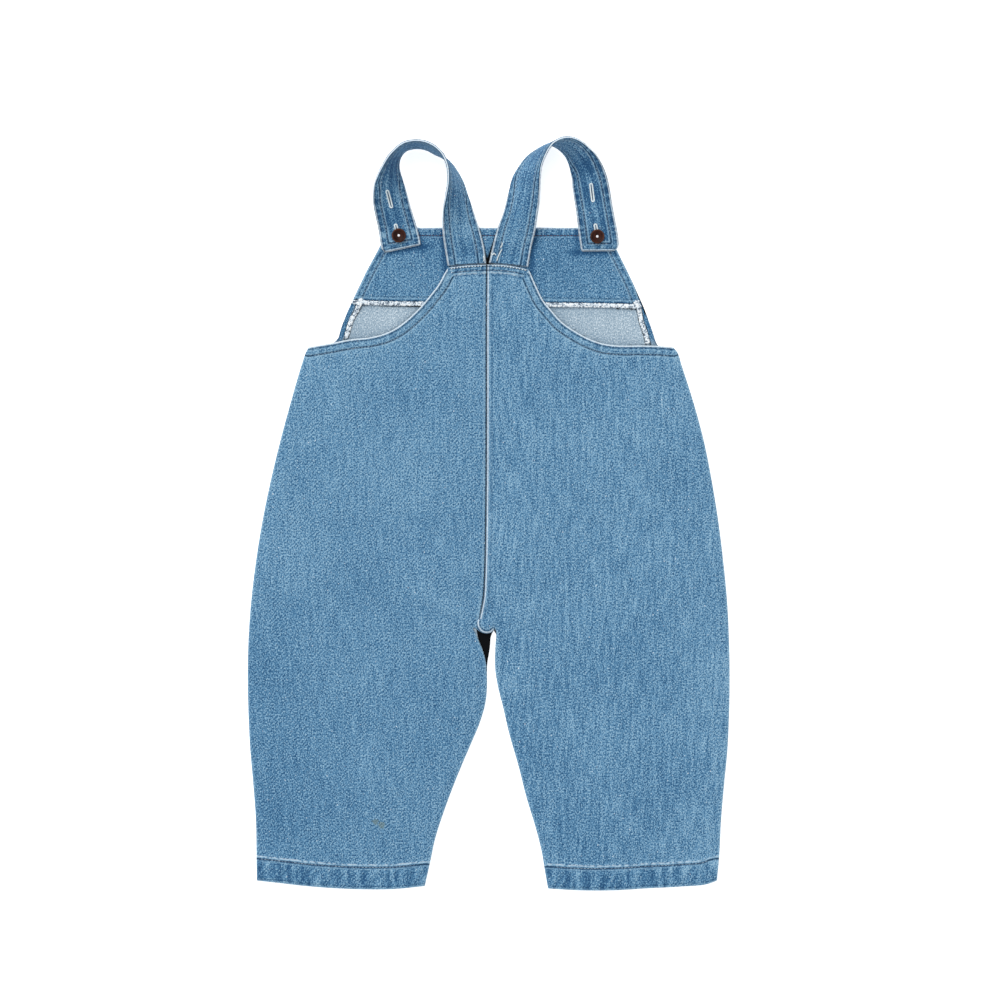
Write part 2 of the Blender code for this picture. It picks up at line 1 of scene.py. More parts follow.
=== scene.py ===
"""Toddler's denim overalls laid flat with the back uppermost: the cloth, seams and stage.

Each panel, the facing and the straps are thin closed shells on the form of their solids,
with the puckers of their turned edges, their stitching and their serging. Tables are in
millimetres, seen from above, from the middle of the garment, and their rows are
(across, height) where they don't say otherwise.
"""

import math

import bpy
import numpy as np
from bpy.props import FloatProperty, FloatVectorProperty, IntProperty, PointerProperty
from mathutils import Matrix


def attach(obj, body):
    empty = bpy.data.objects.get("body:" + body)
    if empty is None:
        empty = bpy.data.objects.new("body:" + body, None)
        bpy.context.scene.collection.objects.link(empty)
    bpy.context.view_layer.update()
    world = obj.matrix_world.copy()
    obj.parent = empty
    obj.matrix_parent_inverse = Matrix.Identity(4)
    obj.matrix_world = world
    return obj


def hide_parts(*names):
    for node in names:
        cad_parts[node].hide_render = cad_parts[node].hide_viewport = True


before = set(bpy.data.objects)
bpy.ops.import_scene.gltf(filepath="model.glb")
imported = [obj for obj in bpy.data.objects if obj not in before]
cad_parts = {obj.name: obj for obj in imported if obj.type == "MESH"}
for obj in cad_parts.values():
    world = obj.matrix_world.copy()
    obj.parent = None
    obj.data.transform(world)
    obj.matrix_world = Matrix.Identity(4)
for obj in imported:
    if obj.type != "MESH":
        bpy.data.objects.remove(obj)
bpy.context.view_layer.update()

bl_info = {
    "name": "Toddler's Overalls",
    "version": (1, 0, 0),
    "blender": (4, 5, 0),
    "location": "View3D > Sidebar > Overalls",
    "description": "Denim overalls laid flat, with puckered edges, stitching and serging",
    "category": "Add Mesh",
}

BODY = "root"
MM = 0.001
MIDDLE = np.array((0.0, -1.6, 0.0))

# Cloth, turned edges and lofts, as in the solids
CLOTH = 1.2
GAP = 0.3
LOFT = 1.7
LOFT_REACH = 7.0
PUFF = 1.3
PUFF_REACH = 60.0
PUFF_FADE = (60.0, 150.0)
PUFF_FROM_SEAM = (4.0, 40.0)
HEM_HEIGHT = 18.0
HEM_EXTRA = 0.7
ARMHOLE_TURNING = 7.0
ARMHOLE_EXTRA = 0.6
BIB_TURNING = 8.0
BIB_EXTRA = 0.5
BIB_TURNING_START = (134.5, 138.5)
BIB_TURNING_END = (142.0, 156.0)
EDGE_STEP = 1.2
HEM_CLEARANCE = 2.0
SEAM_DIP = 0.5
SEAM_DIP_REACH = 2.2
SEAM_RIDGE = 0.6
SEAM_RIDGE_AT = 3.0
SEAM_RIDGE_REACH = 2.0
LUMP_AT = (-1.2, -90.0)
LUMP_HEIGHT = 1.6
LUMP_HOLLOW = 1.0
LUMP_REACH = 5.0
FACING_THICK = 1.1
FACING_INSET = 0.5
FACING_SIDE_FROM = 170.0
STRAP_THICK = 2.0
OUTER_CORNER = 5.0
INNER_CORNER = 1.5
STRAP_WIDTH = 31.0
BUTTON_BASE = 5.2

# Places across and up the panels
BACK_COLUMNS = (
    0.0, 0.02, 0.06, 0.13, 0.2, 0.27, 0.34, 0.41, 0.48,
    0.55, 0.62, 0.69, 0.75, 0.81, 0.88, 0.95, 0.98, 1.0,
)
FRONT_COLUMNS = (0.0, 0.04, 0.08, 0.12, 0.17, 0.24, 0.34, 0.46, 0.6, 0.7, 0.8, 0.9, 1.0)
LEG_ROWS = 11
CROTCH_ROWS = 8
TORSO_ROWS = 15
BACK_CROTCH_SHARE = 0.44
FRONT_CROTCH_SHARE = 0.42
BACK_CORNER_SHARE = 0.81
FRONT_CORNER_SHARE = 0.6
BACK_CROTCH_ROW = 0.42
FRONT_CROTCH_ROW = 0.40
CROTCH_REACH = 0.035
BAND_LIMIT = 0.06
BAND_LIMIT_GROWTH = 0.01
BAND_FADE = 4

# Stitch lines, as distances from the edges that they follow
HEM_STITCH = 17.6
ARMHOLE_STITCH = 7.3
TOP_STITCH = 4.6
BIB_TOP_STITCH = 6.0
BIB_SIDE_STITCH = 5.4
STRAP_STITCH = 6.2
STRAP_END_STITCH = 5.6

# Side seams, a row for each height from the hem to the underarm
SIDE_SECTIONS = (
    # height, left side, right side
    (-293.8, -185.3, 182.5), (-273.7, -185.6, 184.4), (-246.5, -186.1, 185.8),
    (-216.9, -188.2, 188.3), (-189.7, -190.6, 190.9), (-159.3, -192.1, 192.3),
    (-127.3, -192.7, 192.7), (-98.5, -191.9, 192.1), (-69.7, -189.8, 190.6), (-37.7, -185.9, 187.5),
    (-5.7, -180.7, 183.5), (26.3, -174.1, 178.3), (58.3, -166.4, 171.9), (90.3, -157.7, 163.2),
    (118.3, -149.5, 154.2), (128.7, -145.9, 150.7), (132.6, -143.7, 147.5),
)

# Lower edge of each leg, from the side seam to the inside leg
HEM_LEFT = (
    (-185.3, -293.8), (-170.9, -295.2), (-148.5, -297.7), (-126.1, -299.5), (-98.1, -300.6),
    (-75.7, -300.4), (-51.0, -298.2),
)
HEM_RIGHT = (
    (182.5, -293.8), (176.3, -296.1), (153.9, -298.4), (125.9, -299.8), (103.5, -301.2),
    (75.5, -301.5), (47.4, -300.2),
)

# Inside leg, from the hem up to the crotch
INSIDE_LEG_LEFT = (
    (-51.0, -298.2), (-47.1, -280.9), (-42.4, -259.3), (-36.5, -240.9), (-29.8, -222.5),
    (-21.8, -202.5), (-13.9, -184.1), (-7.2, -168.1), (-2.6, -152.1), (-1.3, -140.1),
)
INSIDE_LEG_RIGHT = (
    (47.4, -300.2), (45.1, -287.3), (42.6, -272.0), (37.9, -252.9), (30.6, -228.9), (23.2, -200.1),
    (16.6, -177.3), (11.3, -154.5), (7.3, -138.5), (5.3, -125.7), (5.2, -109.7),
)
BACK_CROTCH_LEFT = (
    (-1.4, -130.0), (-2.2, -119.5), (-4.3, -111.0), (-7.0, -104.0), (-10.2, -96.5), (-12.0, -91.9),
    (-10.6, -91.4), (-9.0, -89.6),
)
BACK_CROTCH_RIGHT = (
    (5.9, -99.5), (5.8, -94.6), (4.4, -92.2), (2.4, -91.9), (0.4, -91.6), (-2.2, -91.1),
    (-4.8, -90.4), (-6.9, -89.3),
)
FRONT_CROTCH_LEFT = (
    (-1.2, -130.0), (-1.0, -120.0), (0.2, -113.0), (1.2, -105.7), (1.9, -98.5),
)
FRONT_CROTCH_RIGHT = (
    (5.6, -102.0), (6.0, -97.5),
)

# Centre seams, from the crotch up
BACK_SEAM = (
    (-7.8, -86.0), (-6.1, -77.7), (-4.2, -67.7), (-3.3, -53.7), (-2.8, -37.7), (-2.1, 10.3),
    (-1.8, 90.3), (-1.8, 146.3), (-1.5, 198.4),
)
FRONT_SEAM = (
    (4.0, -94.0), (2.6, -80.0), (1.0, -60.0), (0.0, -30.0), (0.0, 100.0), (0.0, 228.2),
)

# Armhole of the back, from the side seam to the corner under the strap
ARMHOLE_LEFT = (
    (-143.7, 132.6), (-126.9, 135.4), (-109.6, 138.7), (-94.1, 140.4), (-85.3, 142.5),
    (-75.7, 146.7), (-68.0, 151.9), (-61.0, 158.0), (-53.3, 165.8), (-46.3, 174.3), (-40.2, 182.3),
    (-34.9, 191.9), (-32.4, 195.9),
)
ARMHOLE_RIGHT = (
    (147.5, 132.6), (134.0, 133.5), (120.6, 133.8), (103.3, 133.8), (91.0, 135.4), (79.8, 139.4),
    (68.6, 145.5), (58.4, 152.7), (50.2, 161.8), (44.1, 169.2), (37.9, 181.5), (32.3, 194.2),
)

# Upper edge of the back, from the corner under the strap to the centre seam
BACK_TOP_LEFT = (
    (-32.4, 195.9), (-22.4, 197.2), (-12.0, 198.0), (-1.5, 198.4),
)
BACK_TOP_RIGHT = (
    (32.3, 194.2), (24.3, 196.2), (17.1, 197.4), (8.2, 198.3), (-1.5, 198.4),
)

# Side edge of the front, from the side seam up to the corner of the bib
BIB_SIDE_LEFT = (
    (-143.7, 132.6), (-132.0, 133.6), (-123.5, 136.4), (-119.3, 141.5), (-114.9, 155.9),
    (-109.3, 168.7), (-103.3, 181.5), (-97.1, 194.3), (-90.1, 207.1), (-79.3, 228.2),
)
BIB_SIDE_RIGHT = (
    (147.5, 132.6), (140.0, 132.9), (134.6, 134.4), (131.8, 139.0), (126.3, 155.9), (121.9, 168.7),
    (116.5, 181.5), (110.4, 194.3), (104.0, 207.1), (93.9, 228.2),
)

# Lower edge of the facing, from its left side to its right side
FACING_LOWER = (
    (-109.4, 167.2), (-85.0, 166.2), (-40.0, 165.8), (10.0, 165.4), (60.0, 164.9), (95.0, 164.4),
    (122.4, 163.6),
)

# Middle of each strap's cloth, a row for each section from the back to the bib
STRAP_LEFT = (
    # outer edge: across, height, up; inner edge: across, height, up
    (-32.7, 197.3, 3.9, -1.9, 199.3, 3.9),
    (-34.6, 208.7, 4.6, -3.4, 211.3, 3.9),
    (-36.4, 221.3, 8.2, -6.8, 225.1, 4.1),
    (-36.9, 232.0, 14.0, -10.8, 236.8, 3.0),
    (-36.0, 242.0, 19.5, -13.6, 244.8, 1.8),
    (-34.0, 251.6, 24.4, -17.2, 254.6, 1.1),
    (-32.3, 260.7, 28.0, -20.3, 263.4, 0.8),
    (-32.0, 270.1, 30.2, -24.6, 271.6, 0.6),
    (-33.2, 277.1, 31.1, -30.2, 279.4, 0.6),
    (-36.6, 284.6, 31.4, -36.2, 283.9, 0.6),
    (-41.6, 289.8, 31.4, -42.4, 286.8, 0.6),
    (-49.5, 294.0, 31.4, -50.0, 290.6, 0.6),
    (-59.0, 295.1, 31.3, -58.5, 291.7, 0.6),
    (-68.0, 292.9, 31.2, -66.0, 289.8, 0.6),
    (-74.8, 287.6, 30.9, -70.2, 285.2, 0.7),
    (-80.2, 281.4, 30.2, -71.9, 279.6, 0.9),
    (-84.4, 274.5, 29.0, -71.6, 274.0, 1.2),
    (-88.4, 267.0, 26.0, -69.6, 267.6, 1.6),
    (-91.0, 260.0, 21.6, -67.1, 260.2, 2.2),
    (-92.2, 251.0, 16.4, -64.5, 252.2, 2.9),
    (-91.6, 243.2, 10.8, -62.2, 243.9, 3.5),
    (-90.0, 235.0, 6.8, -59.9, 236.8, 3.9),
    (-88.4, 228.0, 4.6, -57.9, 230.4, 3.9),
    (-86.8, 217.5, 3.9, -55.6, 221.9, 3.9),
    (-85.0, 207.3, 3.9, -54.0, 214.1, 3.9),
)
STRAP_RIGHT = (
    # outer edge: across, height, up; inner edge: across, height, up
    (31.6, 196.6, 3.9, 0.3, 199.6, 3.9),
    (34.2, 212.2, 4.5, 3.3, 213.5, 3.9),
    (37.6, 226.6, 9.0, 7.7, 229.5, 4.0),
    (39.3, 238.0, 14.6, 11.8, 240.0, 2.8),
    (40.6, 247.2, 18.6, 14.2, 248.7, 1.7),
    (40.8, 256.5, 22.2, 16.5, 257.6, 1.2),
    (41.0, 265.8, 25.4, 19.4, 267.7, 0.9),
    (42.0, 275.0, 28.2, 24.2, 276.0, 0.8),
    (44.8, 282.8, 30.2, 30.6, 284.2, 0.7),
    (48.3, 289.4, 31.2, 38.4, 290.0, 0.6),
    (52.6, 294.2, 31.4, 48.4, 294.4, 0.6),
    (57.6, 296.8, 31.2, 53.8, 292.6, 0.7),
    (63.6, 297.7, 30.2, 58.2, 289.2, 0.8),
    (69.6, 296.6, 28.6, 61.6, 285.2, 1.0),
    (75.4, 293.5, 26.4, 63.6, 281.2, 1.3),
    (80.7, 289.1, 24.4, 65.1, 276.6, 1.6),
    (85.5, 284.7, 21.8, 66.0, 272.0, 1.9),
    (90.0, 278.3, 18.4, 66.8, 266.6, 2.4),
    (94.0, 269.6, 14.2, 67.1, 259.8, 2.9),
    (96.5, 259.6, 10.4, 68.0, 252.8, 3.4),
    (98.9, 245.6, 6.8, 69.4, 243.6, 3.8),
    (101.2, 233.6, 4.8, 70.8, 232.4, 3.9),
    (103.4, 221.6, 4.0, 72.2, 221.0, 3.9),
    (104.0, 214.0, 3.9, 73.2, 214.0, 3.9),
    (103.3, 209.2, 3.9, 74.0, 208.9, 3.9),
)

# Half section of a button, from the middle of its back round to the middle of its dish
BUTTON_SECTION = (
    # radius, up
    (0.0, 0.0), (4.4, 0.0), (5.3, 0.4), (5.7, 1.2), (5.5, 2.0), (4.8, 2.5), (4.1, 2.4), (3.3, 1.9),
    (2.3, 1.7), (1.6, 1.5), (1.2, 1.0), (0.0, 0.9),
)
BUTTON_LEFT_AT = (-71.7, 221.5)
BUTTON_RIGHT_AT = (86.8, 220.7)

# Creases of the back: a line from one place to another, how it stands out, and its tone, which is
# painted light on a raised crease and painted shade in a sunken one
CREASES = (
    # across, height, across, height, half width, height, tone
    (-7.6, -62.0, -6.4, -86.0, 1.6, 0.45, 0.22),
    (-4.2, -62.0, -3.6, -84.0, 1.2, -0.30, -0.20),
    (-13.6, -89.0, -9.0, -83.5, 1.0, -0.25, -0.22),
    (-15.4, -90.5, -11.0, -84.5, 1.0, 0.25, 0.14),
    (13.0, -100.0, 13.6, -127.0, 3.2, -0.35, -0.14),
    (9.0, -98.0, 9.6, -120.0, 1.8, 0.30, 0.12),
    (17.5, -92.0, 18.6, -132.0, 2.2, 0.30, 0.10),
    (-22.0, -98.0, -31.0, -150.0, 4.0, 0.40, 0.06),
    (26.0, -84.0, 32.0, -150.0, 4.5, 0.40, 0.05),
    (51.5, 160.5, 58.5, 175.0, 1.2, 0.25, 0.16),
    (55.5, 163.0, 60.5, 182.0, 1.0, -0.25, -0.14),
    (-96.0, -252.0, -92.0, -150.0, 9.0, 0.45, 0.04),
    (98.0, -250.0, 92.0, -130.0, 10.0, 0.45, 0.04),
    (-128.0, 20.0, -120.0, 110.0, 8.0, 0.35, 0.03),
    (126.0, 10.0, 120.0, 104.0, 8.0, 0.35, 0.03),
    (-29.0, 196.4, -36.4, 184.0, 1.3, 0.35, 0.34),
    (31.6, 195.0, 38.0, 184.6, 1.3, 0.35, 0.34),
    (-24.0, 196.6, -8.0, 198.4, 1.2, 0.30, 0.24),
    (8.0, 198.0, 27.0, 195.0, 1.2, 0.30, 0.30),
    (1.5, 195.4, 6.0, 197.0, 1.4, 0.35, 0.34),
    (-60.0, -60.0, -14.0, -84.0, 5.0, 0.35, 0.05),
    (58.0, -66.0, 12.0, -84.0, 5.0, 0.35, 0.05),
    (-48.0, -78.0, -16.0, -96.0, 3.5, -0.30, -0.04),
    (50.0, -84.0, 14.0, -100.0, 3.5, -0.30, -0.04),
)

# Painted shade of the almost black gap at the crotch and of the one between the straps: corners, going
# round
PAINTED_SHADE_AT_CROTCH = (
    (-16.0, -84.0), (-12.0, -96.0), (-4.0, -122.0), (-0.6, -138.0), (2.6, -118.0), (12.0, -96.0),
    (12.0, -84.0),
)
PAINTED_SHADE_BETWEEN_STRAPS = (
    (-9.5, 231.0), (-7.0, 188.0), (4.0, 188.0), (9.5, 231.0),
)
# The facing that is seen between the straps, over that gap
FACING_BETWEEN_STRAPS = (
    (-8.5, 236.0), (-1.1, 206.0), (9.4, 236.0),
)

# Outline of the rolled end of the centre seam, going round, and the line where it rolls over
SEAM_END = (
    (-3.0, -83.5), (-7.4, -84.2), (-10.2, -87.4), (-11.6, -91.0), (-9.0, -93.6), (-5.2, -95.9),
    (-1.4, -96.5), (1.6, -95.8), (3.9, -94.2), (5.4, -91.6), (4.8, -88.4), (1.6, -85.0),
)
SEAM_ROLL = (
    (-7.1, -80.0), (-8.1, -85.4), (-8.3, -88.6), (-7.3, -91.8), (-5.2, -94.2), (-2.0, -95.4),
    (1.2, -94.9), (3.6, -93.0),
)
SEAM_END_SECTION = (
    # share of the outline, height
    (0.05, 1.65), (0.7, 1.65), (0.94, 1.8), (1.0, 2.4), (0.98, 3.1), (0.93, 3.7), (0.85, 4.3),
    (0.75, 4.75), (0.62, 5.1), (0.48, 5.35), (0.32, 5.5), (0.17, 5.57), (0.04, 5.6),
)

# The shade beside the straps
SHADE_BESIDE_STRAPS = (
    # across, height, across, height, half width, darkness
    (-33.5, 184.0, -37.8, 236.0, 2.3, 0.55),
    (32.5, 184.0, 38.3, 236.0, 2.3, 0.55),
    (-94.0, 205.0, -48.0, 213.5, 2.2, 0.55),
    (66.0, 207.8, 112.0, 208.0, 2.2, 0.55),
    (-52.4, 208.0, -58.8, 238.0, 1.9, 0.45),
    (71.4, 208.0, 69.4, 238.0, 1.9, 0.45),
)

# Painted shade on each strap's front: its darkest place, under the loop
STRAP_SHADE_LEFT_AT = (-78.0, 269.0)
STRAP_SHADE_RIGHT_AT = (84.0, 274.0)
STRAP_SHADE_REACH = 9.0

# Buttonholes on the front ends of the straps: each from its upper to its lower end
BUTTONHOLES = (
    # strap, across, height, across, height
    ("left", -80.8, 256.8, -77.4, 243.6),
    ("left", -74.4, 230.4, -71.0, 216.6),
    ("right", 81.6, 262.6, 83.4, 248.6),
    ("right", 85.2, 230.6, 87.6, 217.0),
)

# Loose ends of white thread, as places seen from above
LOOSE_THREADS = (
    ((11.1, 215.9), (10.6, 213.6), (9.3, 211.6)),
    ((10.8, 210.8), (9.2, 208.0), (7.6, 204.6), (6.5, 201.0)),
    ((1.9, 207.8), (3.4, 206.2), (4.2, 207.4), (5.9, 205.6)),
    ((-4.2, 205.2), (-3.6, 203.0), (-3.9, 200.7)),
)

# Serged strips down the inside of the bib's side turnings
SERGED_LEFT = (
    (-101.2, 171.6), (-103.1, 167.3), (-105.8, 160.9), (-109.6, 154.5), (-111.4, 149.1),
    (-114.2, 139.4),
)
SERGED_RIGHT = (
    (117.6, 170.2), (119.9, 163.7), (122.7, 151.3), (125.4, 143.8), (127.5, 134.8),
)


# How finely each piece is divided: steps between two knots, or points along a line
BACK_STEPS = (9, (10, 7, 7))
FRONT_STEPS = (7, (5, 4, 6))
FACING_STEPS = (176, 50)
STRAP_STEPS = 300
STITCH_LINE_STEPS = 700
STRAP_FRONT_COLUMNS = 121
STRAP_FRONT_STEPS = 900
BUTTONHOLE_STEPS = 120
SLIT_STEPS = 24
SERGING_STEPS = 160
LOOSE_THREAD_STEPS = 36
BUTTON_STEPS = 34
PIN_STEPS = 28

# The head of the button's pin, as rows of (radius, height), and how high it stands in the button
PIN_SECTION = ((1.0, 0.0), (1.1, 0.35), (1.05, 0.75), (0.85, 1.0), (0.5, 1.12), (0.12, 1.15))
PIN_BASE = 0.85
BUTTONHOLE_WIDTH = 0.95
STRAP_COLUMNS = (0.0, 0.012, 0.03, *np.linspace(0.06, 0.94, 27), 0.97, 0.988, 1.0)
STRAP_STITCHES_FROM = 8.0
STRAP_FRONT_FROM = 0.72
SHEET_ROUNDING = 0.45
STRAP_ROUNDING = 0.8

# The value edge is the distance from an armhole or a side as far as EDGE_LIMIT, and nearer to
# the top edge it is TOP_FROM more than the distance from that edge
EDGE_LIMIT = 40.0
TOP_FROM = 60.0

# Stage, in metres and degrees
FLOOR_HALF = 3.0
FLOOR_POINTS = 9
FLOOR_LEVEL = -0.0005
LIGHT_SPREAD = 38.0
LIGHT_TURN = (-34.0, -28.0, 0.0)
CAMERA_AT = (0.0091, 0.0119)


# Curves and grids

def even(count):
    """Shares from 0 to 1 in even steps."""
    return np.linspace(0.0, 1.0, count + 1)


def smooth_step(value, low, high):
    """0 below low, 1 above high, with a soft change between."""
    share = np.clip((value - low) / (high - low), 0.0, 1.0)
    return share * share * (3.0 - 2.0 * share)


def bump(distance, reach):
    """A soft hill: 1 at no distance, falling as e to minus the square of distance over reach."""
    return np.exp(-((distance / reach) ** 2))


def window(value, low, high, soft):
    """1 between low and high, falling to 0 over a soft distance outside them."""
    return smooth_step(value, low - soft, low) * (1.0 - smooth_step(value, high, high + soft))


def ripple(along, period, seed):
    """Uneven waves from -1 to 1: a sine whose phase is pushed about by two slower sines."""
    turn = 2.0 * np.pi * along / period
    push = 1.3 * np.sin(turn / 3.7 + seed) + 0.9 * np.sin(turn / 2.3 + 2.1 * seed)
    size = 0.72 + 0.28 * np.sin(turn / 5.1 + 3.3 * seed)
    return size * np.sin(turn + push + seed)


def spline(knots, values, at):
    """Cubic curve through the values, with slopes taken from the neighbours of each knot."""
    slopes = np.gradient(values, knots, axis=0)
    place = np.clip(np.searchsorted(knots, at, side="right") - 1, 0, len(knots) - 2)
    step = (knots[place + 1] - knots[place])[:, None]
    share = ((at - knots[place]) / step[:, 0])[:, None]
    square = share * share
    cube = square * share
    start = (2 * cube - 3 * square + 1) * values[place]
    leave = (cube - 2 * square + share) * step * slopes[place]
    end = (3 * square - 2 * cube) * values[place + 1]
    arrive = (cube - square) * step * slopes[place + 1]
    return start + leave + end + arrive


def unit(vectors):
    """Vectors of length 1 in the same directions."""
    return vectors / np.linalg.norm(vectors, axis=-1)[..., None]


def length_to(points):
    """Length along a path up to each of its points."""
    return np.concatenate(([0.0], np.cumsum(np.linalg.norm(np.diff(points, axis=0), axis=1))))


def line(rows, at):
    """Points at the given shares of the length of a smooth line through the rows."""
    values = np.array(rows, dtype=float)
    knots = length_to(values)
    return spline(knots / knots[-1], values, np.asarray(at, dtype=float))


def joined(parts, at):
    """Points along several lines in turn, each given as (rows, share where it ends)."""
    at = np.asarray(at, dtype=float)
    points = np.zeros((len(at), 2))
    begin = 0.0
    for rows, end in parts:
        here = (at >= begin) if end >= 1.0 else (at >= begin) & (at < end)
        points[here] = line(rows, (at[here] - begin) / (end - begin))
        begin = end
    return points


def side_rows(column):
    """One side seam as rows of (across, height)."""
    return [(row[column], row[0]) for row in SIDE_SECTIONS]


def patch(edges, across, up):
    """Points inside four edges, at grids of shares across and up.

    A point is the mean of the two edges left and right of it and the two edges
    below and above it, each weighted by nearness, less the share of the corners
    that both means hold.
    """
    share_u = across.ravel()
    share_v = up.ravel()
    u = share_u[:, None]
    v = share_v[:, None]
    below = edges["below"](share_u)
    above = edges["above"](share_u)
    outer = edges["outer"](share_v)
    inner = edges["inner"](share_v)
    ends = np.array([0.0, 1.0])
    low_outer, low_inner = edges["below"](ends)
    high_outer, high_inner = edges["above"](ends)
    corners = (1 - u) * (1 - v) * low_outer + u * (1 - v) * low_inner
    corners = corners + (1 - u) * v * high_outer + u * v * high_inner
    points = (1 - v) * below + v * above + (1 - u) * outer + u * inner - corners
    return points.reshape(*across.shape, 2)


def band_shares(edges, across, level, distance):
    """How far up or down the panel, as a share, a band of one width reaches from its edge."""
    step = 0.002
    inward = step if level < 0.5 else -step
    middle = np.clip(across, step, 1.0 - step)
    here = patch(edges, middle, np.full_like(middle, level))
    next_to = patch(edges, middle + step, np.full_like(middle, level))
    within = patch(edges, middle, np.full_like(middle, level + inward))
    along = next_to - here
    away = within - here
    area = np.abs(along[:, 0] * away[:, 1] - along[:, 1] * away[:, 0])
    rate = area / np.linalg.norm(along, axis=1) / step
    limit = BAND_LIMIT * (1.0 + BAND_LIMIT_GROWTH * distance)
    return np.minimum(distance / np.maximum(rate, 1.0), limit)


def row_shares(crotch):
    """Shares up a panel between its turned edges, closer together at the crotch."""
    leg = np.linspace(0.0, crotch - CROTCH_REACH, LEG_ROWS + 1)
    near = np.linspace(crotch - CROTCH_REACH, crotch + CROTCH_REACH, CROTCH_ROWS + 1)
    torso = np.linspace(crotch + CROTCH_REACH, 1.0, TORSO_ROWS + 1)
    return np.concatenate((leg[1:], near[1:], torso[1:-1]))


def refined(values, steps):
    """Values along the first axis with steps[i] even places between knots i and i + 1."""
    places = [place + np.arange(count) / count for place, count in enumerate(steps)]
    index = np.concatenate((*places, [float(len(steps))]))
    lower = np.clip(index.astype(int), 0, len(steps) - 1)
    share = (index - lower).reshape(-1, *[1] * (values.ndim - 1))
    return values[lower] * (1.0 - share) + values[lower + 1] * share


def panel_grid(edges, columns, crotch, turning, across_steps, up_steps):
    """Fine grid of points, with rows placed at the steps of the hem and of the turned edge."""
    across = np.array(columns)
    lower = [0.0 * across]
    for distance in (HEM_HEIGHT - EDGE_STEP / 2, HEM_HEIGHT + EDGE_STEP / 2):
        lower.append(band_shares(edges, across, 0.0, distance))
    upper = []
    for distance in (turning + EDGE_STEP / 2, turning - EDGE_STEP / 2):
        upper.append(1.0 - band_shares(edges, across, 1.0, distance))
    upper.append(0.0 * across + 1.0)
    body = [
        share + lower[-1] * (1.0 - share) ** BAND_FADE - (1.0 - upper[0]) * share**BAND_FADE
        for share in row_shares(crotch)
    ]
    hem_steps, body_steps, turned_steps = up_steps
    steps = [hem_steps, 2] + [body_steps] * (len(body) + 1) + [2, turned_steps]
    up = refined(np.array(lower + body + upper), steps)
    across = refined(across, [across_steps] * (len(columns) - 1))
    up = refined(up.T, [across_steps] * (len(columns) - 1)).T
    return patch(edges, np.broadcast_to(across, up.shape).copy(), up)


def measure(points, rows, samples=360):
    """Distance of each point from a line, and the length along the line where it is nearest.

    The nearest mark on the line is found first, then the nearer of the two straight
    pieces that meet there.
    """
    marks = line(rows, even(samples))
    pieces = np.diff(marks, axis=0)
    sizes = np.linalg.norm(pieces, axis=1)
    starts = np.concatenate(([0.0], np.cumsum(sizes)))
    flat = points.reshape(-1, 2)
    squares = (marks**2).sum(axis=1) - 2.0 * flat @ marks.T
    nearest = squares.argmin(axis=1)
    distance = np.full(len(flat), np.inf)
    along = np.zeros(len(flat))
    for shift in (-1, 0):
        piece = np.clip(nearest + shift, 0, samples - 1)
        away = flat - marks[piece]
        share = np.clip((away * pieces[piece]).sum(axis=1) / sizes[piece] ** 2, 0.0, 1.0)
        gap = np.linalg.norm(away - pieces[piece] * share[:, None], axis=1)
        closer = gap < distance
        distance = np.where(closer, gap, distance)
        along = np.where(closer, starts[piece] + share * sizes[piece], along)
    return distance.reshape(points.shape[:-1]), along.reshape(points.shape[:-1])


def beside(rows, distance, begin=0.0, end=1.0, count=400):
    """Points of a line moved sideways to its left, between two shares of its length."""
    at = begin + (end - begin) * even(count)
    points = line(rows, at)
    along = unit(np.gradient(points, axis=0))
    return points + distance * np.stack((-along[:, 1], along[:, 0]), axis=1)


# Meshes

def border(rows, columns):
    """Numbers of the points round the edge of a grid, once round from its first point."""
    lower = np.arange(columns - 1)
    right = np.arange(rows - 1) * columns + columns - 1
    upper = (rows - 1) * columns + np.arange(columns - 1, 0, -1)
    left = np.arange(rows - 1, 0, -1) * columns
    return np.concatenate((lower, right, upper, left))


def grid_faces(rows, columns, closed_across=False):
    """Squares of a grid of points, by number, closed round across if asked."""
    number = np.arange(rows * columns).reshape(rows, columns)
    if closed_across:
        number = np.concatenate((number, number[:, :1]), axis=1)
    squares = (number[:-1, :-1], number[:-1, 1:], number[1:, 1:], number[1:, :-1])
    return np.stack(squares, axis=-1).reshape(-1, 4)


def add_mesh(name, points, faces, values, cloth_places, material):
    """One finished piece from arrays: points, groups of faces, a value of each kind a point."""
    mesh = bpy.data.meshes.new(name)
    points = (points - MIDDLE) * MM
    corners = np.concatenate([group.ravel() for group in faces]).astype(np.int32)
    sizes = np.concatenate([np.full(len(group), group.shape[1]) for group in faces])
    starts = np.concatenate(([0], np.cumsum(sizes)[:-1])).astype(np.int32)
    mesh.vertices.add(len(points))
    mesh.vertices.foreach_set("co", points.astype(np.float32).ravel())
    mesh.loops.add(len(corners))
    mesh.loops.foreach_set("vertex_index", corners)
    mesh.polygons.add(len(sizes))
    mesh.polygons.foreach_set("loop_start", starts)
    mesh.update(calc_edges=True)
    for kind, numbers in values.items():
        layer = mesh.attributes.new(kind, "FLOAT", "POINT")
        layer.data.foreach_set("value", numbers.astype(np.float32).ravel())
    layer = mesh.uv_layers.new(name="cloth")
    layer.data.foreach_set("uv", (cloth_places[corners] * MM).astype(np.float32).ravel())
    mesh.materials.append(material)
    mesh.shade_smooth()
    if mesh.validate():
        raise RuntimeError(f"{name} has faces that Blender had to mend")
    piece = bpy.data.objects.new(name, mesh)
    bpy.context.scene.collection.objects.link(piece)
    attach(piece, BODY)
    return piece


RIM_TURNS = (45.0, 90.0, 135.0)


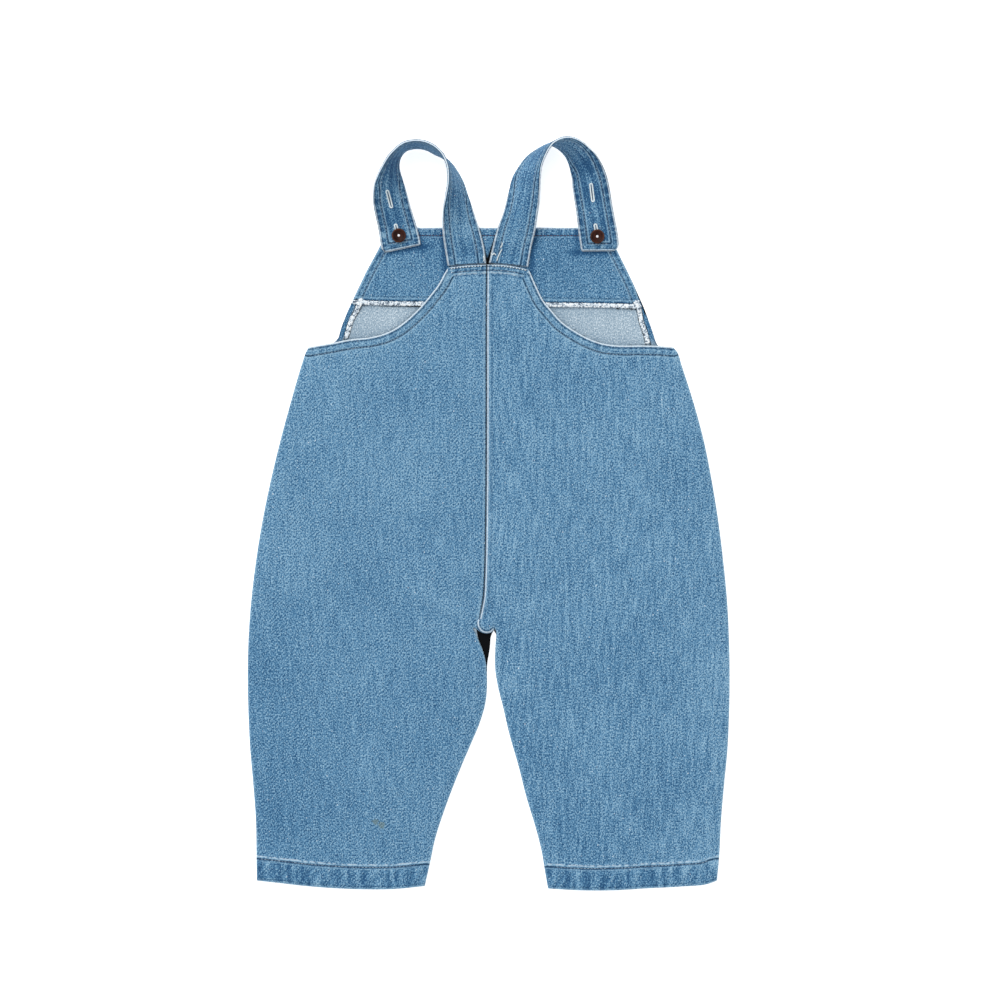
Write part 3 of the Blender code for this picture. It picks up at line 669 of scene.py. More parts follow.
def shell(name, upper, under, values, cloth_places, material, rounding=SHEET_ROUNDING):
    """Closed wall between two grids, joined by a half round rim that touches the outline.

    values holds, for each kind, a grid for the upper face and one for the underside;
    the rim goes from one to the other.
    """
    rows, columns = upper.shape[:2]
    size = rows * columns
    order = border(rows, columns)
    top = upper.reshape(-1, 3).copy()
    low = under.reshape(-1, 3).copy()
    edge_top = top[order]
    edge_low = low[order]
    middle = (edge_top + edge_low) / 2
    along = np.roll(middle, -1, axis=0) - np.roll(middle, 1, axis=0)
    outward = unit(np.cross(along, edge_top - edge_low))
    top[order] = edge_top - outward * rounding
    low[order] = edge_low - outward * rounding
    parts = [top, low]
    places = [cloth_places.reshape(-1, 2)] * 2
    kinds = {kind: [pair[0].ravel(), pair[1].ravel()] for kind, pair in values.items()}
    for turn in RIM_TURNS:
        share = (1.0 + math.cos(math.radians(turn))) / 2
        push = (math.sin(math.radians(turn)) - 1.0) * rounding
        parts.append(edge_low + (edge_top - edge_low) * share + outward * push)
        places.append(cloth_places.reshape(-1, 2)[order])
        for kind, pair in values.items():
            between = pair[0].ravel()[order] * share + pair[1].ravel()[order] * (1.0 - share)
            kinds[kind].append(between)
    faces = grid_faces(rows, columns)
    groups = [faces, faces[:, ::-1] + size]
    count = len(order)
    ring = np.arange(count)
    levels = [order] + [2 * size + count * step + ring for step in range(3)] + [order + size]
    for high, deep in zip(levels[:-1], levels[1:]):
        groups.append(np.stack((high, deep, np.roll(deep, -1), np.roll(high, -1)), axis=1))
    joined_values = {kind: np.concatenate(found) for kind, found in kinds.items()}
    return add_mesh(
        name, np.concatenate(parts), groups, joined_values, np.concatenate(places), material
    )


def capped(rings, steps):
    """Faces of a tube of rings, each end closed by one face."""
    end = np.arange(steps)[None]
    return [grid_faces(rings, steps, closed_across=True), end[:, ::-1], (rings - 1) * steps + end]


def upward(path):
    """Normals straight up, one for each point of a path."""
    return np.tile((0.0, 0.0, 1.0), (len(path), 1))


def flat_to(points, heights):
    """A grid seen from above, given its heights."""
    return np.concatenate((points, heights[..., None]), axis=-1)


def tube(name, path, normals, half_width, half_height, material, turns=10, closed=False):
    """Bead with an oval section carried along a path.

    At each place the section is half_width times the cosine to the side and
    half_height times the sine along the normal; both are given for each place.
    """
    along = np.gradient(path, axis=0)
    if closed:
        along = np.roll(path, -1, axis=0) - np.roll(path, 1, axis=0)
    sideways = unit(np.cross(along, normals))
    angle = np.linspace(0.0, 2.0 * np.pi, turns, endpoint=False)
    wide = (half_width[:, None] * np.cos(angle))[..., None] * sideways[:, None]
    high = (half_height[:, None] * np.sin(angle))[..., None] * normals[:, None]
    points = path[:, None] + wide + high
    groups = capped(len(path), turns)
    if closed:
        first = np.arange(turns)
        last = (len(path) - 1) * turns + first
        joint = np.stack((last, np.roll(last, -1), np.roll(first, -1), first), axis=1)
        groups = [groups[0], joint]
    places = np.stack(np.broadcast_arrays(angle[None] * 1.5, length_to(path)[:, None]), axis=-1)
    return add_mesh(name, points.reshape(-1, 3), groups, {}, places.reshape(-1, 2), material)


STITCH_SIDES = 5
STITCH_RINGS = np.array((0.0, 0.14, 0.5, 0.86, 1.0))
STITCH_SIZES = np.array((0.3, 0.85, 1.0, 0.85, 0.3))


def stitches(name, runs, length, gap, radius, material, slot):
    """Rows of separate stitches.

    Each stitch is a thin bead of five rings along its run of the path; it rises
    from the cloth as the sine of its length and both its ends go into the cloth.
    runs holds pairs of a path and the normals of the cloth along it.
    """
    centres, sides, ups = [], [], []
    for path, normals in runs:
        reach = length_to(path)
        count = max(1, int((reach[-1] - length) / (length + gap)))
        begins = np.arange(count) * (length + gap) + gap / 2
        at = begins[:, None] + STITCH_RINGS * length
        found = np.stack([np.interp(at, reach, axis) for axis in path.T], axis=-1)
        up = unit(np.stack([np.interp(at, reach, axis) for axis in normals.T], axis=-1))
        lift = radius * (1.1 * np.sin(np.pi * STITCH_RINGS) - 0.55)
        centre = found + up * lift[:, None]
        sides.append(unit(np.cross(np.gradient(centre, axis=1), up)))
        centres.append(centre)
        ups.append(up)
    centre, side, up = (np.concatenate(found) for found in (centres, sides, ups))
    angle = np.linspace(0.0, 2.0 * np.pi, STITCH_SIDES, endpoint=False)
    size = (STITCH_SIZES * radius)[:, None, None]
    ring = size * (np.cos(angle)[:, None] * side[:, :, None] + np.sin(angle)[:, None] * up[:, :, None])
    points = centre[:, :, None] + ring
    count = len(points)
    rings = len(STITCH_RINGS)
    each = rings * STITCH_SIDES
    begin = np.arange(count)[:, None, None] * each
    squares = (grid_faces(rings, STITCH_SIDES, closed_across=True)[None] + begin).reshape(-1, 4)
    start = (np.arange(STITCH_SIDES)[None, ::-1] + begin[:, 0]).reshape(-1, STITCH_SIDES)
    stop = (each - STITCH_SIDES + np.arange(STITCH_SIDES)[None] + begin[:, 0])
    stop = stop.reshape(-1, STITCH_SIDES)
    number = np.repeat(np.arange(count), each)
    places = np.stack((number * 3.7, np.tile(np.repeat(STITCH_RINGS, STITCH_SIDES), count)), axis=-1)
    return add_mesh(
        name, points.reshape(-1, 3), [squares, start, stop], {}, places, material
    )


def turned_piece(name, profile, place, base, steps, values, material):
    """A round piece: a profile of radius and height turned once about its upright axis."""
    profile = np.array(profile, dtype=float)
    angle = np.linspace(0.0, 2.0 * np.pi, steps, endpoint=False)
    radius = profile[:, 0][:, None]
    x = place[0] + radius * np.cos(angle)
    y = place[1] + radius * np.sin(angle)
    z = np.broadcast_to(base + profile[:, 1][:, None], x.shape)
    rings = np.stack((x, y, z), axis=-1).reshape(-1, 3)
    places = np.stack(np.broadcast_arrays(angle[None] * radius, profile[:, 1][:, None]), axis=-1)
    kinds = {kind: np.repeat(np.array(found, dtype=float), steps) for kind, found in values.items()}
    groups = capped(len(profile), steps)
    return add_mesh(name, rings, groups, kinds, places.reshape(-1, 2), material)


# Finishes

def colour(red, green, blue):
    """Screen values from 0 to 255 as the light values that a shader takes."""
    share = np.array((red, green, blue)) / 255.0
    low = share / 12.92
    high = ((share + 0.055) / 1.055) ** 2.4
    return tuple(float(value) for value in np.where(share <= 0.04045, low, high))


def set_sockets(tree, made, sockets):
    """Give each socket of a node its value, or a link from another socket."""
    for key, value in sockets.items():
        if isinstance(value, bpy.types.NodeSocket):
            tree.links.new(value, made.inputs[key])
        else:
            made.inputs[key].default_value = value


def add_node(tree, kind, sockets=None, **settings):
    """A node with its settings and its sockets."""
    made = tree.nodes.new(kind)
    for key, value in settings.items():
        setattr(made, key, value)
    set_sockets(tree, made, sockets or {})
    return made


def reckon(tree, operation, first, second=0.0, third=0.0, clamp=False):
    """One step of arithmetic in a node tree."""
    sockets = {0: first, 1: second, 2: third}
    made = add_node(tree, "ShaderNodeMath", sockets, operation=operation, use_clamp=clamp)
    return made.outputs[0]


def noise(tree, place, scale, detail=0.0, roughness=0.5):
    """Soft noise from 0 to 1."""
    sockets = {"Vector": place, "Scale": scale, "Detail": detail, "Roughness": roughness}
    return add_node(tree, "ShaderNodeTexNoise", sockets).outputs["Fac"]


def stretched(tree, place, factors):
    """A place stretched by a factor along each axis."""
    made = add_node(tree, "ShaderNodeVectorMath", {0: place, 1: factors}, operation="MULTIPLY")
    return made.outputs[0]


def shifted(tree, place, shift):
    """A place moved along each axis."""
    made = add_node(tree, "ShaderNodeVectorMath", {0: place, 1: shift}, operation="ADD")
    return made.outputs[0]


def ranged(tree, value, low, high, to_low=0.0, to_high=1.0):
    """A value taken softly from one range to another."""
    sockets = dict(zip(("Value", "From Min", "From Max"), (value, low, high)))
    sockets.update({"To Min": to_low, "To Max": to_high})
    made = add_node(tree, "ShaderNodeMapRange", sockets, interpolation_type="SMOOTHSTEP")
    return made.outputs["Result"]


def mixed(tree, share, first, second):
    """Two colours mixed by a share."""
    made = add_node(tree, "ShaderNodeMix", data_type="RGBA", blend_type="MIX")
    sockets = {0: share}
    for index, value in ((6, first), (7, second)):
        linked = isinstance(value, bpy.types.NodeSocket)
        sockets[index] = value if linked else (*value, 1.0)
    set_sockets(tree, made, sockets)
    return made.outputs[2]


def centred(tree, value, amount):
    """A value from 0 to 1 made to swing by an amount about 0."""
    return reckon(tree, "MULTIPLY", reckon(tree, "SUBTRACT", value, 0.5), amount)


def total(tree, *values):
    """The sum of several values."""
    result = values[0]
    for value in values[1:]:
        result = reckon(tree, "ADD", result, value)
    return result


def ramp(tree, share, stops):
    """Colour taken from stops of (share, colour)."""
    made = add_node(tree, "ShaderNodeValToRGB", {"Fac": share})
    points = made.color_ramp.elements
    while len(points) < len(stops):
        points.new(0.5)
    for point, (place, shade) in zip(points, stops):
        point.position = place
        point.color = (*shade, 1.0)
    return made.outputs["Color"]


def new_group(name, inputs, outputs):
    """An empty node group: numbers in by name, a vector where there is none, and numbers out."""
    tree = bpy.data.node_groups.new(name, "ShaderNodeTree")
    for label, default in inputs.items():
        kind = "NodeSocketVector" if default is None else "NodeSocketFloat"
        socket = tree.interface.new_socket(label, in_out="INPUT", socket_type=kind)
        if default is not None:
            socket.default_value = default
    for label in outputs:
        tree.interface.new_socket(label, in_out="OUTPUT", socket_type="NodeSocketFloat")
    return tree, tree.nodes.new("NodeGroupInput").outputs, tree.nodes.new("NodeGroupOutput")


def weave_group():
    """Denim as shade and height about 0: speckle, slubs along the warp, broken twill, clouds."""
    tree, given, out = new_group(
        "weave",
        {"Cloth Place": None, "Speckle": 1.0, "Slub": 1.0, "Twill": 0.3, "Cloud": 0.4},
        ("Shade", "Height", "Pale Fleck", "Dark Fleck"),
    )
    place = given["Cloth Place"]
    speckle = noise(tree, stretched(tree, place, (1.0, 0.8, 1.0)), 880.0, 2.0, 0.75)
    fine = noise(tree, stretched(tree, place, (1.0, 0.6, 1.0)), 1350.0)
    slub = noise(tree, stretched(tree, place, (11.0, 1.0, 1.0)), 27.0, 1.0)
    thin_slub = noise(tree, stretched(tree, place, (9.0, 1.0, 1.0)), 62.0, 1.0)
    cloud = noise(tree, place, 15.0, 2.0)
    turn = {"Vector": place, "Rotation": (0.0, 0.0, math.radians(44.0))}
    waves = {"Scale": 140.0, "Distortion": 5.0, "Detail": 1.0, "Detail Scale": 0.7}
    waves["Vector"] = add_node(tree, "ShaderNodeMapping", turn).outputs[0]
    bands = add_node(tree, "ShaderNodeTexWave", waves).outputs["Fac"]
    patches = ranged(tree, noise(tree, place, 60.0, 1.0), 0.4, 0.6)
    twill = reckon(tree, "MULTIPLY", centred(tree, bands, given["Twill"]), patches)
    grain = centred(tree, speckle, given["Speckle"])
    fine_grain = centred(tree, fine, reckon(tree, "MULTIPLY", given["Speckle"], 0.8))
    slubs = centred(tree, slub, reckon(tree, "MULTIPLY", given["Slub"], 0.45))
    thin_slubs = centred(tree, thin_slub, reckon(tree, "MULTIPLY", given["Slub"], 0.7))
    clouds = centred(tree, cloud, given["Cloud"])
    relief = total(tree, grain, fine_grain, slubs, thin_slubs, twill)
    tree.links.new(reckon(tree, "ADD", relief, clouds), out.inputs["Shade"])
    tree.links.new(relief, out.inputs["Height"])
    pale = noise(tree, shifted(tree, place, (0.3, 0.7, 0.0)), 560.0)
    dark = noise(tree, shifted(tree, place, (0.9, 0.2, 0.0)), 430.0)
    tree.links.new(ranged(tree, pale, 0.82, 0.87), out.inputs["Pale Fleck"])
    tree.links.new(ranged(tree, dark, 0.80, 0.86), out.inputs["Dark Fleck"])
    return tree


def soft_line_group():
    """Mask that is 1 where Distance is At and 0 from Width away, wandering and broken by noise."""
    tree, given, out = new_group(
        "soft line",
        {
            "Cloth Place": None, "Distance": 0.0, "At": 0.0,
            "Width": 1.0, "Wander": 0.5, "Breaks": 0.3,
        },
        ("Mask",),
    )
    place = given["Cloth Place"]
    wander = centred(tree, noise(tree, place, 240.0, 1.0), given["Wander"])
    apart = reckon(tree, "SUBTRACT", reckon(tree, "ADD", given["Distance"], wander), given["At"])
    apart = reckon(tree, "DIVIDE", reckon(tree, "ABSOLUTE", apart), given["Width"])
    mask = ranged(tree, apart, 0.0, 1.0, 1.0, 0.0)
    holes = ranged(tree, noise(tree, shifted(tree, place, (0.5, 0.1, 0.0)), 330.0, 1.0), 0.42, 0.62)
    whole = reckon(tree, "SUBTRACT", 1.0, reckon(tree, "MULTIPLY", holes, given["Breaks"]))
    tree.links.new(reckon(tree, "MULTIPLY", mask, whole), out.inputs["Mask"])
    return tree


def spot_group():
    """Mask of a small round mark: 1 at Middle and 0 from Radius away, ragged at its edge."""
    inputs = {"Cloth Place": None, "Middle": None, "Radius": 0.003}
    tree, given, out = new_group("spot", inputs, ("Mask",))
    place = given["Cloth Place"]
    apart = add_node(
        tree, "ShaderNodeVectorMath", {0: place, 1: given["Middle"]}, operation="DISTANCE"
    ).outputs["Value"]
    share = reckon(tree, "DIVIDE", apart, given["Radius"])
    share = reckon(tree, "ADD", share, centred(tree, noise(tree, place, 420.0, 1.0), 1.4))
    tree.links.new(ranged(tree, share, 0.5, 1.0, 1.0, 0.0), out.inputs["Mask"])
    return tree


def use_group(tree, name, sockets):
    """One of the shared groups, with its sockets set."""
    made = tree.nodes.new("ShaderNodeGroup")
    made.node_tree = bpy.data.node_groups[name]
    set_sockets(tree, made, sockets)
    return made.outputs


def new_finish(name, roughness, sheen=0.0, specular=0.2):
    """An empty material with its shader's constant sockets set."""
    material = bpy.data.materials.new(name)
    material.use_nodes = True
    tree = material.node_tree
    shader = tree.nodes["Principled BSDF"]
    shader.inputs["Roughness"].default_value = roughness
    shader.inputs["Specular IOR Level"].default_value = specular
    if sheen:
        shader.inputs["Sheen Weight"].default_value = sheen
        shader.inputs["Sheen Roughness"].default_value = 0.5
    return material, tree, shader


def bumped(tree, shader, height, distance, strength=0.7):
    """Small relief from a height, on the shader's normal."""
    made = add_node(
        tree, "ShaderNodeBump", {"Height": height, "Distance": distance, "Strength": strength}
    )
    tree.links.new(made.outputs["Normal"], shader.inputs["Normal"])


def attribute(tree, name):
    """A value of the mesh, by name."""
    return add_node(tree, "ShaderNodeAttribute", attribute_name=name).outputs["Fac"]


def with_lines(tree, place, found, lines):
    """A colour with lines laid over it, each where its attribute is at its distance."""
    for source, at, width, wander, breaks, shade_of_line, strength in lines:
        sockets = {"Cloth Place": place, "Distance": attribute(tree, source), "At": at}
        sockets.update({"Width": width, "Wander": wander, "Breaks": breaks})
        mask = use_group(tree, "soft line", sockets)["Mask"]
        found = mixed(tree, reckon(tree, "MULTIPLY", mask, strength), found, shade_of_line)
    return found


def denim(
    name, cloth, lines=(), marks=(), wrong=True, wrong_lines=(), slub=1.0, twill=0.3, sheen=0.12
):
    """Washed denim in its own weave, with lines of wear and of painted shade, marks, its pale wrong
    side, and painted shade where the value dark is high.

    lines holds (attribute, at, width, wander, breaks, colour, strength): a line of that
    colour where the attribute is at the given distance in millimetres. marks holds
    (x, y, radius in millimetres, colour, strength).
    """
    material, tree, shader = new_finish(name, 0.9, sheen=sheen, specular=0.12)
    place = add_node(tree, "ShaderNodeUVMap", uv_map="cloth").outputs[0]
    sockets = {"Cloth Place": place, "Speckle": cloth.speckle, "Cloud": cloth.cloud}
    sockets.update({"Slub": cloth.slub * slub, "Twill": cloth.twill * twill})
    weave = use_group(tree, "weave", sockets)
    shade = total(tree, weave["Shade"], attribute(tree, "tone"), 0.5)
    blues = (cloth.deep, cloth.dark, cloth.middle, cloth.pale, cloth.faded)
    found = ramp(tree, shade, tuple(zip((0.0, 0.25, 0.5, 0.75, 1.0), blues)))
    found = mixed(tree, reckon(tree, "MULTIPLY", weave["Pale Fleck"], 0.8), found, cloth.worn)
    found = mixed(tree, reckon(tree, "MULTIPLY", weave["Dark Fleck"], 0.6), found, cloth.deep)
    found = with_lines(tree, place, found, lines)
    for across, height, radius, shade_of_mark, strength in marks:
        middle = ((across - MIDDLE[0]) * MM, (height - MIDDLE[1]) * MM, 0.0)
        object_place = add_node(tree, "ShaderNodeTexCoord").outputs["Object"]
        flat = stretched(tree, object_place, (1.0, 1.0, 0.0))
        sockets = {"Cloth Place": flat, "Middle": middle, "Radius": radius * MM}
        mask = use_group(tree, "spot", sockets)["Mask"]
        found = mixed(tree, reckon(tree, "MULTIPLY", mask, strength), found, shade_of_mark)
    if wrong:
        stops = ((0.1, cloth.wrong_dark), (0.5, cloth.wrong), (0.9, cloth.worn))
        wrong_shade = total(tree, reckon(tree, "MULTIPLY", weave["Shade"], 0.44), 0.5)
        wrong_shade = total(tree, wrong_shade, attribute(tree, "tone"))
        wrong_side = ramp(tree, wrong_shade, stops)
        found = mixed(tree, attribute(tree, "wrong"), found, wrong_side)
        found = with_lines(tree, place, found, wrong_lines)
    # Painted shade: the value dark mixes in the colour of deep shade
    found = mixed(tree, attribute(tree, "dark"), found, cloth.shade)
    tree.links.new(found, shader.inputs["Base Color"])
    bumped(tree, shader, weave["Height"], cloth.weave_depth * MM)
    return material


def thread(name, pale, dark):
    """Sewing thread: its two colours change from stitch to stitch, with its twist as ridges."""
    material, tree, shader = new_finish(name, 0.7, sheen=0.1, specular=0.3)
    place = add_node(tree, "ShaderNodeUVMap", uv_map="cloth").outputs[0]
    choice = ranged(tree, noise(tree, stretched(tree, place, (310.0, 60.0, 1.0)), 1.0), 0.3, 0.7)
    object_place = add_node(tree, "ShaderNodeTexCoord").outputs["Object"]
    fray = ranged(tree, noise(tree, object_place, 900.0, 1.0), 0.3, 0.7)
    share = reckon(tree, "ADD", reckon(tree, "MULTIPLY", choice, 0.7), centred(tree, fray, 0.5))
    found = mixed(tree, reckon(tree, "ADD", share, 0.15, clamp=True), dark, pale)
    tree.links.new(found, shader.inputs["Base Color"])
    bumped(tree, shader, fray, 0.0001)
    return material


def groove(cloth):
    """The dark blue of stitched grooves, also of other dark lines and of painted shade beside the
    straps' worn rims.
    """
    return tuple(value * 0.42 for value in cloth.deep)


def serging_finish(name, cloth):
    """Overlocked edge: loops of white thread over blue cloth, mottled."""
    material, tree, shader = new_finish(name, 0.85, sheen=0.1, specular=0.15)
    place = add_node(tree, "ShaderNodeTexCoord").outputs["Object"]
    coarse = noise(tree, place, 420.0, 2.0, 0.7)
    fine = noise(tree, place, 1100.0, 1.0)
    share = total(tree, centred(tree, coarse, 3.0), centred(tree, fine, 2.0), 0.55)
    stops = (
        (0.0, colour(70, 84, 102)),
        (0.3, colour(150, 164, 178)),
        (0.6, cloth.worn),
        (1.0, colour(244, 246, 246)),
    )
    tree.links.new(ramp(tree, share, stops), shader.inputs["Base Color"])
    bumped(tree, shader, coarse, 0.0004)
    return material


def painted_shade_finish(name, shade):
    """Painted shade for the dark inside of a cut or a gap, uneven."""
    material, tree, shader = new_finish(name, 0.95, specular=0.05)
    place = add_node(tree, "ShaderNodeTexCoord").outputs["Object"]
    share = noise(tree, place, 700.0, 1.0)
    lighter = tuple(value * 2.2 + 0.004 for value in shade)
    tree.links.new(mixed(tree, share, shade, lighter), shader.inputs["Base Color"])
    return material


def button_finish(name, buttons):
    """Brown button, its turned face mottled and its raised rim rubbed lighter."""
    material, tree, shader = new_finish(name, 0.42, specular=0.14)
    place = add_node(tree, "ShaderNodeTexCoord").outputs["Object"]
    cloud = noise(tree, place, 330.0, 2.0)
    grain = noise(tree, stretched(tree, place, (1.0, 2.4, 1.0)), 800.0, 1.0)
    share = total(tree, centred(tree, cloud, 1.4), centred(tree, grain, 0.6), 0.35)
    rubbed = reckon(tree, "MULTIPLY", attribute(tree, "rubbed"), cloud)
    found = ramp(tree, share, ((0.0, buttons.dark), (0.5, buttons.brown), (1.0, buttons.light)))
    found = mixed(tree, rubbed, found, buttons.rubbed)
    tree.links.new(found, shader.inputs["Base Color"])
    shine = add_node(tree, "ShaderNodeMapRange", {"Value": cloud, "To Min": 0.34, "To Max": 0.55})
    tree.links.new(shine.outputs["Result"], shader.inputs["Roughness"])
    bumped(tree, shader, grain, 0.00008)
    return material


def pin_and_highlight_finish(name, buttons):
    """The pale head of the button's pin, dull metal with small scratches; its near white also stands in
    for a painted highlight on the button's middle.
    """
    material, tree, shader = new_finish(name, 0.4, specular=0.5)
    shader.inputs["Metallic"].default_value = 0.15
    place = add_node(tree, "ShaderNodeTexCoord").outputs["Object"]
    share = noise(tree, place, 1500.0, 1.0)
    dull = tuple(value * 0.8 for value in buttons.pin)
    tree.links.new(mixed(tree, share, dull, buttons.pin), shader.inputs["Base Color"])
    bumped(tree, shader, share, 0.00005)
    return material


def floor_finish(name, pale, glow):
    """Plain pale floor, only just uneven, lit a little from below as a light table is."""
    material, tree, shader = new_finish(name, 0.95, specular=0.0)
    shader.inputs["Emission Color"].default_value = (1.0, 1.0, 1.0, 1.0)
    shader.inputs["Emission Strength"].default_value = glow
    place = add_node(tree, "ShaderNodeTexCoord").outputs["Object"]
    share = noise(tree, place, 3.0, 1.0)
    lower = tuple(value * 0.985 for value in pale)
    tree.links.new(mixed(tree, share, lower, pale), shader.inputs["Base Color"])
    return material


# Panels

LEFT = {
    "side": side_rows(1),
    "hem": HEM_LEFT,
    "inside_leg": INSIDE_LEG_LEFT,
    "back_crotch": BACK_CROTCH_LEFT,
    "front_crotch": FRONT_CROTCH_LEFT,
    "armhole": ARMHOLE_LEFT,
    "top": BACK_TOP_LEFT,
    "bib_side": BIB_SIDE_LEFT,
    "serged": SERGED_LEFT,
    "away": -1,
    "lean": 0.045,
}
RIGHT = {
    "side": side_rows(2),
    "hem": HEM_RIGHT,
    "inside_leg": INSIDE_LEG_RIGHT,
    "back_crotch": BACK_CROTCH_RIGHT,
    "front_crotch": FRONT_CROTCH_RIGHT,
    "armhole": ARMHOLE_RIGHT,
    "top": BACK_TOP_RIGHT,
    "bib_side": BIB_SIDE_RIGHT,
    "serged": SERGED_RIGHT,
    "away": 1,
    "lean": -0.045,
}


def inside(points, corners):
    """How far each point is within straight sides: the least distance to a side's left."""
    corners = np.array(corners, dtype=float)
    spans = np.roll(corners, -1, axis=0) - corners
    lefts = unit(np.stack((-spans[:, 1], spans[:, 0]), axis=1))
    return np.min([(points - corner) @ left for corner, left in zip(corners, lefts)], axis=0)


def edge_rise(distance, width):
    """1 inside a turned edge of the given width and 0 beyond it, with a short step between."""
    return 1.0 - smooth_step(distance, width - EDGE_STEP / 2, width + EDGE_STEP / 2)


def beside_seam(rows, away):
    """A seam line moved sideways by half of the gap, away from the other half."""
    return [(across + away * GAP / 2, height) for across, height in rows]


def back_edges(half):
    """The four edges of one half of the back."""
    seam = beside_seam(BACK_SEAM, half["away"])
    tip = (seam[-1][0], half["top"][-1][1])
    seam_rows = [half["back_crotch"][-1], *seam[:-1], tip]
    leg_rows = half["inside_leg"] + half["back_crotch"]
    top_rows = [*half["top"][:-1], tip]
    return {
        "below": lambda at: line(half["hem"], at),
        "above": lambda at: joined([(half["armhole"], BACK_CORNER_SHARE), (top_rows, 1.0)], at),
        "outer": lambda at: line(half["side"], at),
        "inner": lambda at: joined([(leg_rows, BACK_CROTCH_SHARE), (seam_rows, 1.0)], at),
    }


def front_edges(half):
    """The four edges of one half of the front, with half of the bib."""
    seam = beside_seam(FRONT_SEAM, half["away"])
    leg_rows = [*half["inside_leg"], *half["front_crotch"], seam[0]]
    top_rows = [half["bib_side"][-1], seam[-1]]
    return {
        "below": lambda at: line(half["hem"], at),
        "above": lambda at: joined([(half["bib_side"], FRONT_CORNER_SHARE), (top_rows, 1.0)], at),
        "outer": lambda at: line(half["side"], at),
        "inner": lambda at: joined([(leg_rows, FRONT_CROTCH_SHARE), (seam, 1.0)], at),
    }


def unevenness(points, seed):
    """Broad low unevenness from -1 to 1: three slow waves that cross each other."""
    x, y = points[..., 0], points[..., 1]
    first = np.sin(x / 17.0 + y / 43.0 + seed)
    second = np.sin(x / 29.0 - y / 21.0 + 2.3 * seed)
    third = np.sin(y / 13.0 + x / 61.0 + 1.1 * seed + 1.4 * first)
    return (first + second + third) / 3.0


def streak(points, row):
    """One crease, or one streak of painted shadow beside a strap: 1 on the line between two places,
    falling sideways and beyond its ends.
    """
    start = np.array(row[0:2])
    end = np.array(row[2:4])
    span = end - start
    size = np.linalg.norm(span)
    away = points - start
    share = (away @ span) / size**2
    aside = (away[..., 0] * span[1] - away[..., 1] * span[0]) / size
    ends = window(share, 0.12, 0.88, 0.3)
    return np.exp(-((aside / row[4]) ** 2)) * ends


